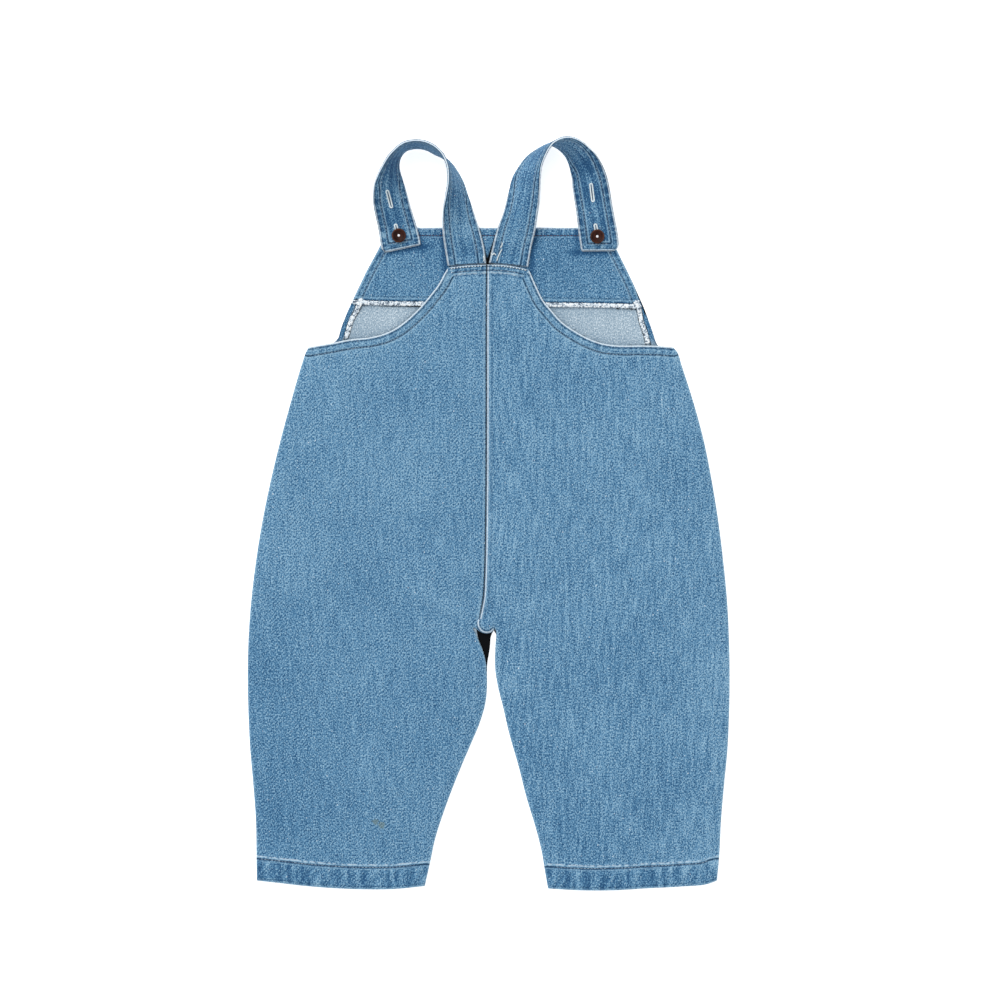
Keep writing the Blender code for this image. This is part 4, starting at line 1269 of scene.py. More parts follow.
def back_cloth(points, half, cloth):
    """Heights and values of one half of the back at any points seen from above.

    The loft is 1 less e to minus the distance from the closed sides over its reach, the
    body puffs towards its middle, and the turned edges add their step. Puckers, stitch
    grooves and creases are waves along an edge times soft windows of the distance from it.
    """
    away = half["away"]
    side, side_run = measure(points, half["side"])
    leg, leg_run = measure(points, half["inside_leg"] + half["back_crotch"])
    seam, seam_run = measure(points, BACK_SEAM)
    hem, hem_run = measure(points, half["hem"])
    arm, arm_run = measure(points, half["armhole"])
    top, top_run = measure(points, half["top"])
    height = points[..., 1]
    rim = np.minimum(side, leg)
    body = smooth_step(np.minimum(rim, arm), 0.0, PUFF_REACH)
    body = body * (1.0 - smooth_step(height, *PUFF_FADE))
    loft = LOFT * (1.0 - np.exp(-rim / LOFT_REACH))
    loft = loft + PUFF * body * smooth_step(seam, *PUFF_FROM_SEAM)
    loft = loft - SEAM_DIP * bump(seam, SEAM_DIP_REACH) * np.clip(loft / LOFT, 0.0, 1.0)
    under = CLOTH + GAP + HEM_EXTRA * edge_rise(hem - HEM_CLEARANCE, HEM_HEIGHT) + loft
    turned = edge_rise(np.minimum(arm, top), ARMHOLE_TURNING)
    in_hem = edge_rise(hem, HEM_HEIGHT)
    upper = under + CLOTH + HEM_EXTRA * in_hem + ARMHOLE_EXTRA * turned
    tone = 0.03 + 0.09 * unevenness(points, 0.7 * away) * 0.5
    # The body is a little paler than the lower legs, and the left leg's outer side is darkest
    tone = tone + 0.05 * smooth_step(height, -150.0, 40.0) - 0.03 * smooth_step(-height, 60.0, 260.0)
    low = smooth_step(-height, 20.0, 200.0)
    if away < 0:
        tone = tone - 0.10 * low * smooth_step(70.0 - side, 0.0, 60.0)
        tone = tone + 0.04 * low * bump(leg, 22.0)
    else:
        tone = tone + 0.10 * low * smooth_step(60.0 - side, 0.0, 60.0)
    # Paler along the folded sides and inside legs, above the hem
    tone = tone + 0.10 * bump(rim, 1.8) * (1.0 - in_hem)
    # Hem: slanting roped ridges, a groove of stitches, and a worn uneven line above it
    pucker = cloth.pucker
    rope = ripple(hem_run + 0.6 * away * hem, 9.3, 1.7 + away)
    rope_band = window(hem, 1.5, HEM_HEIGHT - 4.0, 2.5)
    upper = upper + pucker * 1.5 * rope * rope_band
    upper = upper - 0.35 * bump(hem - HEM_STITCH, 1.1)
    upper = upper + pucker * ripple(hem_run, 7.1, 4.4) * bump(hem - HEM_STITCH - 3.0, 2.6)
    blocks = ripple(hem_run + 0.15 * hem, 12.4, 2.2 - away) * window(hem, 0.5, HEM_HEIGHT - 3.0, 2.0)
    streaks = np.clip(ripple(hem_run - 0.1 * away * hem, 6.9, 1.3 + away), 0.2, 1.0) - 0.35
    streaks = streaks * window(hem, 4.0, HEM_HEIGHT - 1.5, 2.5)
    tone = tone + in_hem * (0.16 * rope * rope_band + 0.24 * blocks + 0.34 * streaks - 0.12)
    tone = tone - 0.26 * bump(hem - HEM_STITCH, 1.3)
    tone = tone + 0.16 * (0.6 + 0.4 * ripple(hem_run, 6.0, 2.0)) * bump(hem - HEM_STITCH - 2.4, 1.5)
    near_stitch = 0.5 + 0.5 * ripple(hem_run, 9.8, 0.4)
    tone = tone + 0.34 * near_stitch**2 * bump(hem - HEM_STITCH + 3.0, 1.6)
    tone = tone + 0.22 * (0.5 + 0.5 * ripple(hem_run, 5.0, 3.1)) * bump(hem, 1.4)
    # Armhole and top edge: short puckers square to the edge, a groove, and a low ridge beyond
    edge = np.where(arm < top, arm, top)
    edge_run = np.where(arm < top, arm_run, top_run + 60.0)
    puckers = ripple(edge_run, 5.3, 0.9 + away)
    band = window(edge, 1.2, 5.6, 1.2)
    upper = upper + pucker * puckers * band
    upper = upper - 0.30 * bump(edge - ARMHOLE_STITCH, 1.0)
    upper = upper + 0.6 * pucker * ripple(edge_run, 7.7, 2.2) * bump(edge - 10.0, 3.0)
    tone = tone + 0.26 * puckers * band - 0.03 * band
    tone = tone + 0.07 * ripple(edge_run, 7.7, 2.2) * window(edge, 8.0, 14.0, 3.0)
    tone = tone - 0.24 * bump(edge - ARMHOLE_STITCH, 1.0) + 0.10 * bump(edge - 9.2, 1.3)
    dashes = 0.5 + 0.5 * ripple(edge_run, 4.1, 5.0)
    tone = tone - 0.34 * dashes * bump(edge - 2.0, 0.8) * np.where(arm < top, 1.0, 0.4)
    second = (top < 12.0) * bump(top - TOP_STITCH, 0.9)
    upper = upper - 0.25 * second
    tone = tone - 0.2 * second + 0.22 * (top < 12.0) * bump(top - TOP_STITCH - 1.7, 0.9)
    # Centre seam: a felled ridge on its right, short puckers on both sides
    upper = upper + 0.5 * pucker * ripple(seam_run, 8.7, 1.2) * bump(seam - 4.0, 3.2)
    tone = tone - 0.06 * bump(seam, 6.0) + 0.05 * ripple(seam_run, 6.1, 2.6) * bump(seam - 3.0, 3.0)
    # Side seams and inside legs: the seam allowance beneath shows as a low uneven ridge
    upper = upper + 0.12 * bump(side - 9.0, 2.2) * (1.0 + 0.5 * ripple(side_run, 23.0, 0.2))
    upper = upper + 0.12 * bump(leg - 9.0, 2.2) * (1.0 + 0.5 * ripple(leg_run, 19.0, 1.2))
    tone = tone + 0.035 * bump(side - 9.0, 2.2) + 0.035 * bump(leg - 9.0, 2.2)
    upper = upper + 0.35 * unevenness(points, 1.3 + away) * smooth_step(rim, 2.0, 20.0)
    # Each crease adds its height, and its tone as painted light where it rises and painted shade where
    # it sinks
    for row in CREASES:
        found = streak(points, row)
        upper = upper + row[5] * found
        tone = tone + row[6] * found
    if away > 0:
        ridge = bump(seam - SEAM_RIDGE_AT, SEAM_RIDGE_REACH)
        lump = bump(np.linalg.norm(points - np.array(LUMP_AT), axis=-1), LUMP_REACH)
        upper = upper + SEAM_RIDGE * ridge * (1.0 - turned) + LUMP_HEIGHT * lump
        under = under + LUMP_HOLLOW * lump
    return {
        "under": under,
        "upper": np.maximum(upper, under + 0.5),
        "tone": tone,
        "seam": seam,
        "hem": hem,
        "edge": np.where(arm < top, np.minimum(arm, EDGE_LIMIT), TOP_FROM + top),
        "side": rim,
    }


def laid_places(points, lean):
    """Where each point is on the cloth: its place seen from above, sheared along the leg."""
    down = np.clip(-points[..., 1], 0.0, None)
    return np.stack((points[..., 0] - lean * down, points[..., 1]), axis=-1)


def back_panel(name, half, cloth, material):
    """One half of the back, whose wrong side faces the front panel."""
    edges = back_edges(half)
    points = panel_grid(edges, BACK_COLUMNS, BACK_CROTCH_ROW, ARMHOLE_TURNING, *BACK_STEPS)
    if half["away"] > 0:
        points = points[:, ::-1]
    found = back_cloth(points, half, cloth)
    nothing = np.zeros_like(found["tone"])
    values = {
        "tone": (found["tone"], nothing),
        "dark": (nothing, nothing),
        "wrong": (nothing, nothing + 1.0),
        **{kind: (found[kind], found[kind]) for kind in ("seam", "hem", "edge", "side")},
    }
    upper, under = flat_to(points, found["upper"]), flat_to(points, found["under"])
    places = laid_places(points, half["lean"])
    piece = shell(name + "_cloth", upper, under, values, places, material)
    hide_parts(name)
    return piece


def front_cloth(points, half, cloth):
    """Heights and values of the front's upper face, which is the wrong side of its cloth."""
    bib, bib_run = measure(points, half["bib_side"])
    hem, _ = measure(points, half["hem"])
    height = points[..., 1]
    turned = edge_rise(bib, BIB_TURNING) * smooth_step(height, *BIB_TURNING_START)
    step = turned * (1.0 - smooth_step(height, *BIB_TURNING_END))
    in_hem = edge_rise(hem, HEM_HEIGHT)
    upper = CLOTH + HEM_EXTRA * in_hem + BIB_EXTRA * step
    upper = upper + 0.6 * cloth.pucker * ripple(bib_run, 6.3, 2.0) * window(bib, 1.0, 3.0, 1.0) * step
    right_side = smooth_step(height, *BIB_TURNING_START) * edge_rise(bib, 3.6)
    wrong = 1.0 - right_side
    tone = 0.06 * unevenness(points, 2.0)
    # Shade where the back's armhole edge and the facing's edge stand over this cloth
    arm, _ = measure(points, half["armhole"])
    facing_edge, _ = measure(points, FACING_LOWER)
    tone = tone - 0.10 * bump(arm, 5.0) - 0.16 * bump(facing_edge + 1.0, 3.0)
    tone = tone - right_side * (0.12 + 0.14 * ripple(bib_run, 5.2, 0.7))
    # Painted shade: the gap at the crotch is almost black
    dark = 2.5 * inside(points, PAINTED_SHADE_AT_CROTCH)
    serged, _ = measure(points, half["serged"])
    return upper, tone, wrong, dark, {"low": facing_edge, "serged": serged, "arm": arm}


def front_panel(name, half, cloth, material):
    """One half of the front with half of the bib, flat underneath."""
    edges = front_edges(half)
    points = panel_grid(edges, FRONT_COLUMNS, FRONT_CROTCH_ROW, BIB_TURNING, *FRONT_STEPS)
    if half["away"] > 0:
        points = points[:, ::-1]
    upper, tone, wrong, dark, distances = front_cloth(points, half, cloth)
    nothing = np.zeros_like(upper)
    values = {
        "tone": (tone, 0.05 * unevenness(points, 1.0)),
        "wrong": (wrong, nothing),
        "dark": (dark, nothing),
        **{kind: (distance, distance) for kind, distance in distances.items()},
    }
    upper, under = flat_to(points, upper), flat_to(points, nothing)
    places = laid_places(points, half["lean"])
    piece = shell(name + "_cloth", upper, under, values, places, material)
    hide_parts(name)
    return piece


def seam_end(material):
    """The rolled end of the centre seam below the crotch.

    Its outline is drawn in towards its middle: each ring is the outline times a share,
    lifted to the height that the section gives for that share.
    """
    outline = line([*SEAM_END, SEAM_END[0]], even(60))[:-1]
    middle = outline.mean(axis=0)
    section = np.array(SEAM_END_SECTION)
    share, height = section[:, 0][:, None, None], section[:, 1][:, None]
    flat = middle + (outline - middle) * share
    rings = flat_to(flat, np.broadcast_to(height, flat.shape[:2]))
    rows, steps = flat.shape[:2]
    groups = capped(rows, steps)
    roll, _ = measure(flat, SEAM_ROLL)
    values = {
        "side": roll.ravel(),
        "tone": (0.04 + 0.1 * ripple(flat[..., 0] + flat[..., 1], 3.7, 0.4)).ravel(),
        "dark": np.zeros(rows * steps),
    }
    return add_mesh(
        "seam_end_cloth", rings.reshape(-1, 3), groups, values, flat.reshape(-1, 2), material
    )


# Facing

def facing_edges():
    """The four edges of the facing."""
    left = [FACING_LOWER[0]]
    left += [(row[0] + FACING_INSET, row[1]) for row in BIB_SIDE_LEFT if row[1] > FACING_SIDE_FROM]
    right = [FACING_LOWER[-1]]
    right += [(row[0] - FACING_INSET, row[1]) for row in BIB_SIDE_RIGHT if row[1] > FACING_SIDE_FROM]
    left[-1] = (left[-1][0], left[-1][1] - FACING_INSET)
    right[-1] = (right[-1][0], right[-1][1] - FACING_INSET)
    return {
        "below": lambda at: line(FACING_LOWER, at),
        "above": lambda at: line([left[-1], right[-1]], at),
        "outer": lambda at: line(left, at),
        "inner": lambda at: line(right, at),
        "left": left,
        "right": right,
        "top": [left[-1], right[-1]],
    }


def facing_cloth(points, cloth):
    """Heights and values of the facing: upright puckers under its top edge, stitch grooves."""
    edges = facing_edges()
    left, left_run = measure(points, edges["left"])
    right, right_run = measure(points, edges["right"])
    top, top_run = measure(points, edges["top"])
    low, low_run = measure(points, FACING_LOWER)
    side = np.minimum(left, right)
    side_run = np.where(left < right, left_run, right_run)
    height = CLOTH + GAP + FACING_THICK
    puckers = ripple(top_run, 4.9, 1.1)
    top_band = window(top, 1.0, 4.6, 1.2)
    side_puckers = ripple(side_run, 5.6, 0.3)
    side_band = window(side, 1.0, 4.0, 1.2)
    upper = height + cloth.pucker * 0.9 * (puckers * top_band + side_puckers * side_band)
    upper = upper - 0.28 * bump(top - BIB_TOP_STITCH, 0.9) - 0.28 * bump(side - BIB_SIDE_STITCH, 0.9)
    upper = upper + 0.5 * cloth.pucker * ripple(top_run, 7.7, 2.0) * bump(top - 9.0, 3.5)
    upper = upper + 0.15 * unevenness(points, 3.0) - 0.15
    tone = -0.05 + 0.07 * unevenness(points, 0.3)
    tone = tone + 0.36 * puckers * top_band + 0.26 * side_puckers * side_band
    tone = tone + 0.10 * ripple(low_run, 6.3, 1.7) * window(low, 4.0, 12.0, 3.0)
    tone = tone - 0.25 * bump(top - BIB_TOP_STITCH, 0.9) - 0.22 * bump(side - BIB_SIDE_STITCH, 0.9)
    tone = tone + 0.16 * bump(np.minimum(top, side), 1.2)
    # Painted shade along the top of the serged edge
    tone = tone - 0.2 * bump(low - 3.5, 1.6)
    # Painted shade: the gap between the straps is almost black, except where the facing shows over it
    between = -inside(points, FACING_BETWEEN_STRAPS)
    dark = 0.8 * np.minimum(inside(points, PAINTED_SHADE_BETWEEN_STRAPS), between)
    for row in SHADE_BESIDE_STRAPS:
        tone = tone - row[5] * streak(points, (*row[:5], 0.0, 0.0))
    edge = np.where(side < top, np.minimum(side, EDGE_LIMIT), TOP_FROM + top)
    return upper, tone, dark, edge, low


def facing_panel(cloth, material):
    """The facing on the inside of the bib, whole from side to side."""
    columns, rows = FACING_STEPS
    shape = (rows + 1, columns + 1)
    across = np.broadcast_to(even(columns), shape).copy()
    up = np.broadcast_to(even(rows)[:, None], shape).copy()
    points = patch(facing_edges(), across, up)
    upper, tone, dark, edge, low = facing_cloth(points, cloth)
    under = np.full(shape, CLOTH + GAP)
    nothing = np.zeros(shape)
    values = {
        "tone": (tone, nothing),
        "edge": (edge, edge),
        "low": (low, low),
        "wrong": (nothing, nothing + 1.0),
        "dark": (dark, nothing),
    }
    upper, under = flat_to(points, upper), flat_to(points, under)
    places = laid_places(points, 0.0)
    piece = shell("bib_facing_cloth", upper, under, values, places, material)
    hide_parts("bib_facing")
    return piece


# Straps

STRAPS = {
    "left": {
        "rows": STRAP_LEFT,
        "turned": False,
        "seed": 0.4,
        "shade_at": STRAP_SHADE_LEFT_AT,
        "darker": 0.11,
        "cloth_from": 0.0,
    },
    "right": {
        "rows": STRAP_RIGHT,
        "turned": True,
        "seed": 2.9,
        "shade_at": STRAP_SHADE_RIGHT_AT,
        "darker": 0.19,
        "cloth_from": 70.0,
    },
}


def corner_setback(across):
    """How far the strap's end draws back, so that its corners are round."""
    outer = np.clip(OUTER_CORNER - across * STRAP_WIDTH, 0.0, OUTER_CORNER)
    inner = np.clip(INNER_CORNER - (1.0 - across) * STRAP_WIDTH, 0.0, INNER_CORNER)
    outer = OUTER_CORNER - np.sqrt(OUTER_CORNER**2 - outer**2)
    inner = INNER_CORNER - np.sqrt(INNER_CORNER**2 - inner**2)
    return outer + inner


def strap_grid(strap, across, steps):
    """Middle of a strap's cloth, its upward normals and the length along it.

    Each section runs straight from the outer edge to the inner edge, and the edges are
    smooth curves through the table's rows.
    """
    table = np.array(strap["rows"], dtype=float)
    knots = length_to((table[:, :3] + table[:, 3:]) / 2)
    reach = knots[-1] - corner_setback(across)
    along = even(steps)[:, None] * reach
    edges = spline(knots, table, along.ravel()).reshape(*along.shape, 6)
    grid = edges[..., :3] * (1.0 - across[:, None]) + edges[..., 3:] * across[:, None]
    if strap["turned"]:
        grid = grid[:, ::-1]
        along = along[:, ::-1]
    face = unit(np.cross(np.gradient(grid, axis=1), np.gradient(grid, axis=0)))
    return grid, face, along, knots[-1]


def strap_relief(across, along, full, cloth, seed):
    """Half thickness and tone of a strap: puffed edge bands beside the grooves of its stitches."""
    edge = np.minimum(across, 1.0 - across) * STRAP_WIDTH
    end = full - along
    puckers = ripple(along, 5.6, seed)
    band = window(edge, 1.0, 4.4, 1.3)
    end_band = window(end, 1.0, 4.0, 1.2)
    stitched = bump(edge - STRAP_STITCH, 0.95) * smooth_step(end, 2.0, 5.0)
    end_stitched = bump(end - STRAP_END_STITCH, 0.95) * smooth_step(edge, 3.0, 6.0)
    thick = STRAP_THICK / 2 + cloth.pucker * 0.7 * puckers * band
    thick = thick - 0.24 * np.maximum(stitched, end_stitched)
    thick = thick + 0.10 * ripple(along, 19.0, seed + 1.0) * smooth_step(edge, 6.0, 12.0)
    bolder = 1.5 + 0.9 * smooth_step(along / full, 0.45, 0.75)
    tone = 0.2 * bolder * puckers * band - 0.24 * np.maximum(stitched, end_stitched)
    end_puckers = ripple(across * STRAP_WIDTH, 4.7, seed) * end_band
    thick = thick + cloth.pucker * 0.7 * end_puckers
    tone = tone + 0.34 * end_puckers + 0.3 * bump(end - 1.7, 1.2)
    streaks = np.sin(across * 19.0 + 0.02 * along + seed) * np.sin(across * 41.0 - 0.03 * along)
    tone = tone + 0.15 * bolder * streaks * smooth_step(edge, 5.0, 9.0)
    tone = tone + 0.08 * bolder * ripple(along, 31.0, seed)
    return thick, tone, np.minimum(edge, np.maximum(end, 0.0))


def strap_piece(name, strap, cloth, material):
    """A strap: a double band of cloth carried from section to section, stitched round."""
    across = np.array(STRAP_COLUMNS)
    grid, face, along, full = strap_grid(strap, across, STRAP_STEPS)
    thick, tone, edge = strap_relief(across, along, full, cloth, strap["seed"])
    front = smooth_step(along / full, 0.45, 0.75)
    tone_front = -0.05 - strap["darker"] * front
    # Painted shade on the strap under the loop, and on the inner side of the loop, more the higher it
    # stands
    apart = np.linalg.norm(grid[..., :2] - np.array(strap["shade_at"]), axis=-1)
    tone_front = tone_front - 0.28 * bump(apart, STRAP_SHADE_REACH) * front
    painted_loop_shade = smooth_step(grid[..., 2] - 6.0, 0.0, 14.0)
    inner = even(len(across) - 1)
    inner = inner[::-1] if strap["turned"] else inner
    tone_front = tone_front - 0.22 * painted_loop_shade * inner
    half = face * thick[..., None]
    shape = along.shape
    nothing = np.zeros(shape)
    lengthwise = np.broadcast_to(across * STRAP_WIDTH, shape)
    places = np.stack((lengthwise + strap["cloth_from"], along), axis=-1)
    standing = 3.0 * (1.0 - smooth_step(np.abs(face[..., 2]), 0.55, 0.85))
    values = {
        "tone": (tone + tone_front, tone + tone_front),
        "side": (edge + standing, edge + standing),
        "layer": (nothing + 1.0, nothing),
        "dark": (nothing, nothing),
    }
    piece = shell(
        name + "_cloth", grid + half, grid - half, values, places, material, STRAP_ROUNDING
    )
    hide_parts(name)
    return piece, full


def strap_surface(strap, across, steps, cloth):
    """A strap's middle, its normals, its half thickness and the length along it, and its length."""
    grid, face, along, full = strap_grid(strap, across, steps)
    across = across[::-1] if strap["turned"] else across
    thick, _, _ = strap_relief(across, along, full, cloth, strap["seed"])
    return grid, face, thick, along, full


def strap_run(strap, side, cloth, from_inner):
    """A row of stitches along a strap beside its outer or inner edge: path and normals."""
    share = STRAP_STITCH / STRAP_WIDTH
    share = 1.0 - share if from_inner else share
    across = np.array([share - 0.02, share, share + 0.02])
    grid, face, thick, along, full = strap_surface(strap, across, STITCH_LINE_STEPS, cloth)
    path = grid[:, 1] + side * face[:, 1] * thick[:, 1][:, None]
    place = along[:, 1]
    kept = (place >= STRAP_STITCHES_FROM) & (place <= full - STRAP_END_STITCH)
    return path[kept], side * face[kept, 1]


def strap_end_run(strap, side, cloth):
    """The row of stitches across a strap's front end: path and normals."""
    across = np.linspace(STRAP_STITCH / STRAP_WIDTH, 1.0 - STRAP_STITCH / STRAP_WIDTH, 60)
    grid, face, thick, along, full = strap_surface(strap, across, STITCH_LINE_STEPS, cloth)
    place = int(np.argmin(np.abs(along[:, 30] - (full - STRAP_END_STITCH))))
    return grid[place] + side * face[place] * thick[place][:, None], side * face[place]


def on_strap(strap, places, cloth):
    """Places seen from above put on the strap's front end, where it faces up, with normals."""
    across = np.linspace(0.02, 0.98, STRAP_FRONT_COLUMNS)
    grid, face, thick, _, _ = strap_surface(strap, across, STRAP_FRONT_STEPS, cloth)
    start = int(len(grid) * STRAP_FRONT_FROM)
    points = (grid - face * thick[..., None])[start:].reshape(-1, 3)
    normals = -face[start:].reshape(-1, 3)
    apart = (points[:, :2] ** 2).sum(axis=1) - 2.0 * places @ points[:, :2].T
    nearest = apart.argmin(axis=1)
    base, normal = points[nearest], normals[nearest]
    rise = -(normal[:, :2] * (places - base[:, :2])).sum(axis=1) / np.maximum(normal[:, 2], 0.3)
    return np.column_stack((places, base[:, 2] + rise)), normal


# Stitches and edges on the panels

def back_run(rows, distance, begin, end, half, cloth):
    """Path along a line of the back at one distance from it, on the cloth, with normals."""
    inward = beside(rows, distance, begin, end, STITCH_LINE_STEPS)
    return flat_to(inward, back_cloth(inward, half, cloth)["upper"]), upward(inward)


def facing_run(rows, distance, begin, end, cloth, lift=0.0):
    """Path along an edge of the facing at one distance from it, with normals."""
    inward = beside(rows, distance, begin, end, 500)
    return flat_to(inward, facing_cloth(inward, cloth)[0] + lift), upward(inward)


def serged_edge(name, path, half_width, high, seed, material, knot=0.0):
    """Overlocking along an edge: a flat bead whose width is scalloped and whose top is ridged.

    The width is a wave along the path, and the height a finer wave, one for each loop of
    thread; both are uneven by slower waves. A knot widens the beginning.
    """
    run = length_to(path)
    loops = ripple(run, 1.9, seed)
    scallops = ripple(run, 4.6, seed + 1.0)
    wide = half_width * (1.0 + 0.12 * loops + 0.12 * scallops + knot * bump(run, 5.0))
    tall = high * (0.85 + 0.28 * loops)
    closing = np.clip(np.minimum(run, run[-1] - run) / 1.2, 0.12, 1.0)
    wide, tall = wide * closing, tall * closing
    return tube(name, path, upward(path), wide, tall, material, turns=12)


def stadium(start, end, half_width, count):
    """Closed path round a slot: two straight sides joined by half circles."""
    along = (end - start) / np.linalg.norm(end - start)
    across = np.array((-along[1], along[0]))
    straight = np.linalg.norm(end - start) - 2.0 * half_width
    round_end = math.pi * half_width
    whole = 2.0 * (straight + round_end)
    run = np.arange(count) / count * whole
    parts = (run < straight, run < straight + round_end, run < 2 * straight + round_end)
    turn = (run - straight) / half_width
    turn_back = (run - 2 * straight - round_end) / half_width
    x = (run, straight + half_width * np.sin(turn), straight - (run - straight - round_end))
    x = np.select(parts, x, -half_width * np.sin(turn_back))
    y = np.select(parts, (-half_width, -half_width * np.cos(turn), half_width),
                  half_width * np.cos(turn_back))
    x = x + half_width
    return start + x[:, None] * along + y[:, None] * across


# Settings

def setting(name, description, default, low, high, **more):
    """A setting that is a number, with its usual value and its limits."""
    return FloatProperty(
        name=name, description=description, default=default, min=low, max=high, **more
    )


def tint(name, description, red, green, blue):
    """A setting that is a colour, from its screen values."""
    return FloatVectorProperty(
        name=name, description=description, default=colour(red, green, blue), subtype="COLOR"
    )


class OverallsCloth(bpy.types.PropertyGroup):
    """Sizes and colours of the denim."""

    pucker: setting(
        "Pucker Height", "Height of the puckers along the stitched edges, in millimetres", 0.24, 0.0, 0.6
    )
    weave_depth: setting(
        "Weave Depth", "Depth of the weave and its slubs, in millimetres", 0.35, 0.0, 1.0
    )
    speckle: setting(
        "Speckle", "How much the colour changes from thread to thread", 2.5, 0.0, 3.0, subtype="FACTOR"
    )
    slub: setting(
        "Slubs", "How much thick and thin warp threads show", 1.0, 0.0, 3.0, subtype="FACTOR"
    )
    twill: setting(
        "Twill", "How much the slanting ridges of the twill show", 0.4, 0.0, 3.0, subtype="FACTOR"
    )
    cloud: setting(
        "Washing", "How unevenly the cloth is washed out", 0.2, 0.0, 3.0, subtype="FACTOR"
    )
    deep: tint("Deepest Blue", "Denim where it is least washed out", 38, 82, 123)
    dark: tint("Dark Blue", "Denim in its darker threads", 64, 111, 149)
    middle: tint("Middle Blue", "Denim in its usual tone", 86, 134, 170)
    pale: tint("Pale Blue", "Denim in its paler threads", 112, 157, 191)
    faded: tint("Faded Blue", "Denim where it is most washed out", 150, 188, 212)
    worn: tint("Worn White", "Denim rubbed down to its white threads", 228, 241, 250)
    wrong: tint("Wrong Side", "The pale inside of the denim", 160, 182, 198)
    wrong_dark: tint(
        "Wrong Side Shade", "The inside of the denim in its darker threads", 124, 149, 171
    )
    shade: tint("Deep Shade", "The inside of gaps that no light reaches", 4, 6, 10)
    stain: tint("Stain", "The small olive brown stain on the left hem", 108, 120, 100)


class OverallsThread(bpy.types.PropertyGroup):
    """Sizes and colours of the sewing."""

    stitch: setting("Stitch Length", "Length of one stitch, in millimetres", 2.1, 1.0, 4.0)
    gap: setting("Stitch Gap", "Distance from one stitch to the next, in millimetres", 0.6, 0.2, 2.0)
    radius: setting(
        "Thread Radius", "Half of the thread's thickness, in millimetres", 0.31, 0.1, 0.6
    )
    blue: tint("Blue Thread", "Thread of the hems and armholes where it is dark", 34, 66, 102)
    pale: tint("Pale Thread", "Thread of the hems and armholes where it is rubbed", 170, 196, 214)
    rust: tint("Rust Thread", "Thread along the facing", 84, 60, 72)
    white: tint("White Thread", "Thread of the buttonholes and the loose ends", 238, 250, 254)


class OverallsButtons(bpy.types.PropertyGroup):
    """Colours and fineness of the buttons."""

    steps: IntProperty(
        name="Steps",
        description="Number of steps round a button",
        default=64,
        min=24,
        max=128,
    )
    brown: tint("Brown", "The button's usual colour", 56, 24, 16)
    dark: tint("Dark Brown", "The button in its hollows", 18, 7, 6)
    light: tint("Light Brown", "The button in its lighter mottling", 74, 36, 26)
    rubbed: tint("Rubbed Rim", "The rubbed rim of the button", 104, 66, 50)
    # Near white: the pin's own pale metal, and a painted highlight on it
    pin: tint("Pin", "The head of the pin in the button's middle", 250, 251, 255)


class OverallsStage(bpy.types.PropertyGroup):
    """The floor, the light and the camera."""

    camera_height: setting(
        "Camera Height", "Height of the camera above the floor", 3.0, 1.0, 10.0,
        subtype="DISTANCE", unit="LENGTH",
    )
    lens: setting("Lens", "Focal length of the camera, in millimetres", 135.0, 20.0, 300.0)
    world: setting("Surrounding Light", "Strength of the even light from all round", 0.72, 0.0, 3.0)
    sun: setting("Soft Light", "Strength of the broad soft light from one side", 1.5, 0.0, 10.0)
    glow: setting("Floor Glow", "Light that comes through the floor from below", 0.62, 0.0, 2.0)
    floor: tint("Floor", "Colour of the floor", 252, 252, 252)


SETTINGS = (
    ("overalls_cloth", OverallsCloth),
    ("overalls_thread", OverallsThread),
    ("overalls_buttons", OverallsButtons),
    ("overalls_stage", OverallsStage),
)


def made_groups():
    """Make the shared node groups when they are first asked for."""
    if "weave" not in bpy.data.node_groups:
        weave_group()
        soft_line_group()
        spot_group()


def shared_finish(name, make, *values):
    """A finish used by several pieces, made when it is first asked for."""
    return bpy.data.materials.get(name) or make(name, *values)


def white_thread(sewing):
    """The thread of the buttonholes, the back's top edge and the loose ends."""
    return shared_finish(
        "thread_white", thread, sewing.white, tuple(value * 0.8 for value in sewing.white)
    )


# Operators

class OVERALLS_OT_stage(bpy.types.Operator):
    """Floor, soft light from all round and from one side, and the camera straight above"""

    bl_idname = "overalls.stage"
    bl_label = "Floor, Light and Camera"

    def execute(self, context):
        stage = context.scene.overalls_stage
        across = np.linspace(-FLOOR_HALF, FLOOR_HALF, FLOOR_POINTS)
        x, y = np.meshgrid(across, across)
        points = np.stack((x, y, np.full_like(x, FLOOR_LEVEL)), axis=-1).reshape(-1, 3)
        mesh = bpy.data.meshes.new("floor")
        mesh.from_pydata(points.tolist(), [], grid_faces(FLOOR_POINTS, FLOOR_POINTS).tolist())
        mesh.materials.append(floor_finish("floor_pale", stage.floor, stage.glow))
        floor = bpy.data.objects.new("floor", mesh)
        context.scene.collection.objects.link(floor)
        world = bpy.data.worlds.new("soft_room")
        world.use_nodes = True
        sky = world.node_tree.nodes["Background"]
        sky.inputs["Color"].default_value = (1.0, 1.0, 1.0, 1.0)
        sky.inputs["Strength"].default_value = stage.world
        context.scene.world = world
        light = bpy.data.lights.new("soft_light", "SUN")
        light.energy = stage.sun
        light.angle = math.radians(LIGHT_SPREAD)
        lamp = bpy.data.objects.new("soft_light", light)
        lamp.rotation_euler = [math.radians(turn) for turn in LIGHT_TURN]
        context.scene.collection.objects.link(lamp)
        camera = bpy.data.cameras.new("camera_above")
        camera.lens = stage.lens
        camera.sensor_width = 36.0
        camera.clip_end = 50.0
        holder = bpy.data.objects.new("camera_above", camera)
        holder.location = (*CAMERA_AT, stage.camera_height)
        context.scene.collection.objects.link(holder)
        context.scene.camera = holder
        context.scene.view_settings.view_transform = "Standard"
        return {"FINISHED"}


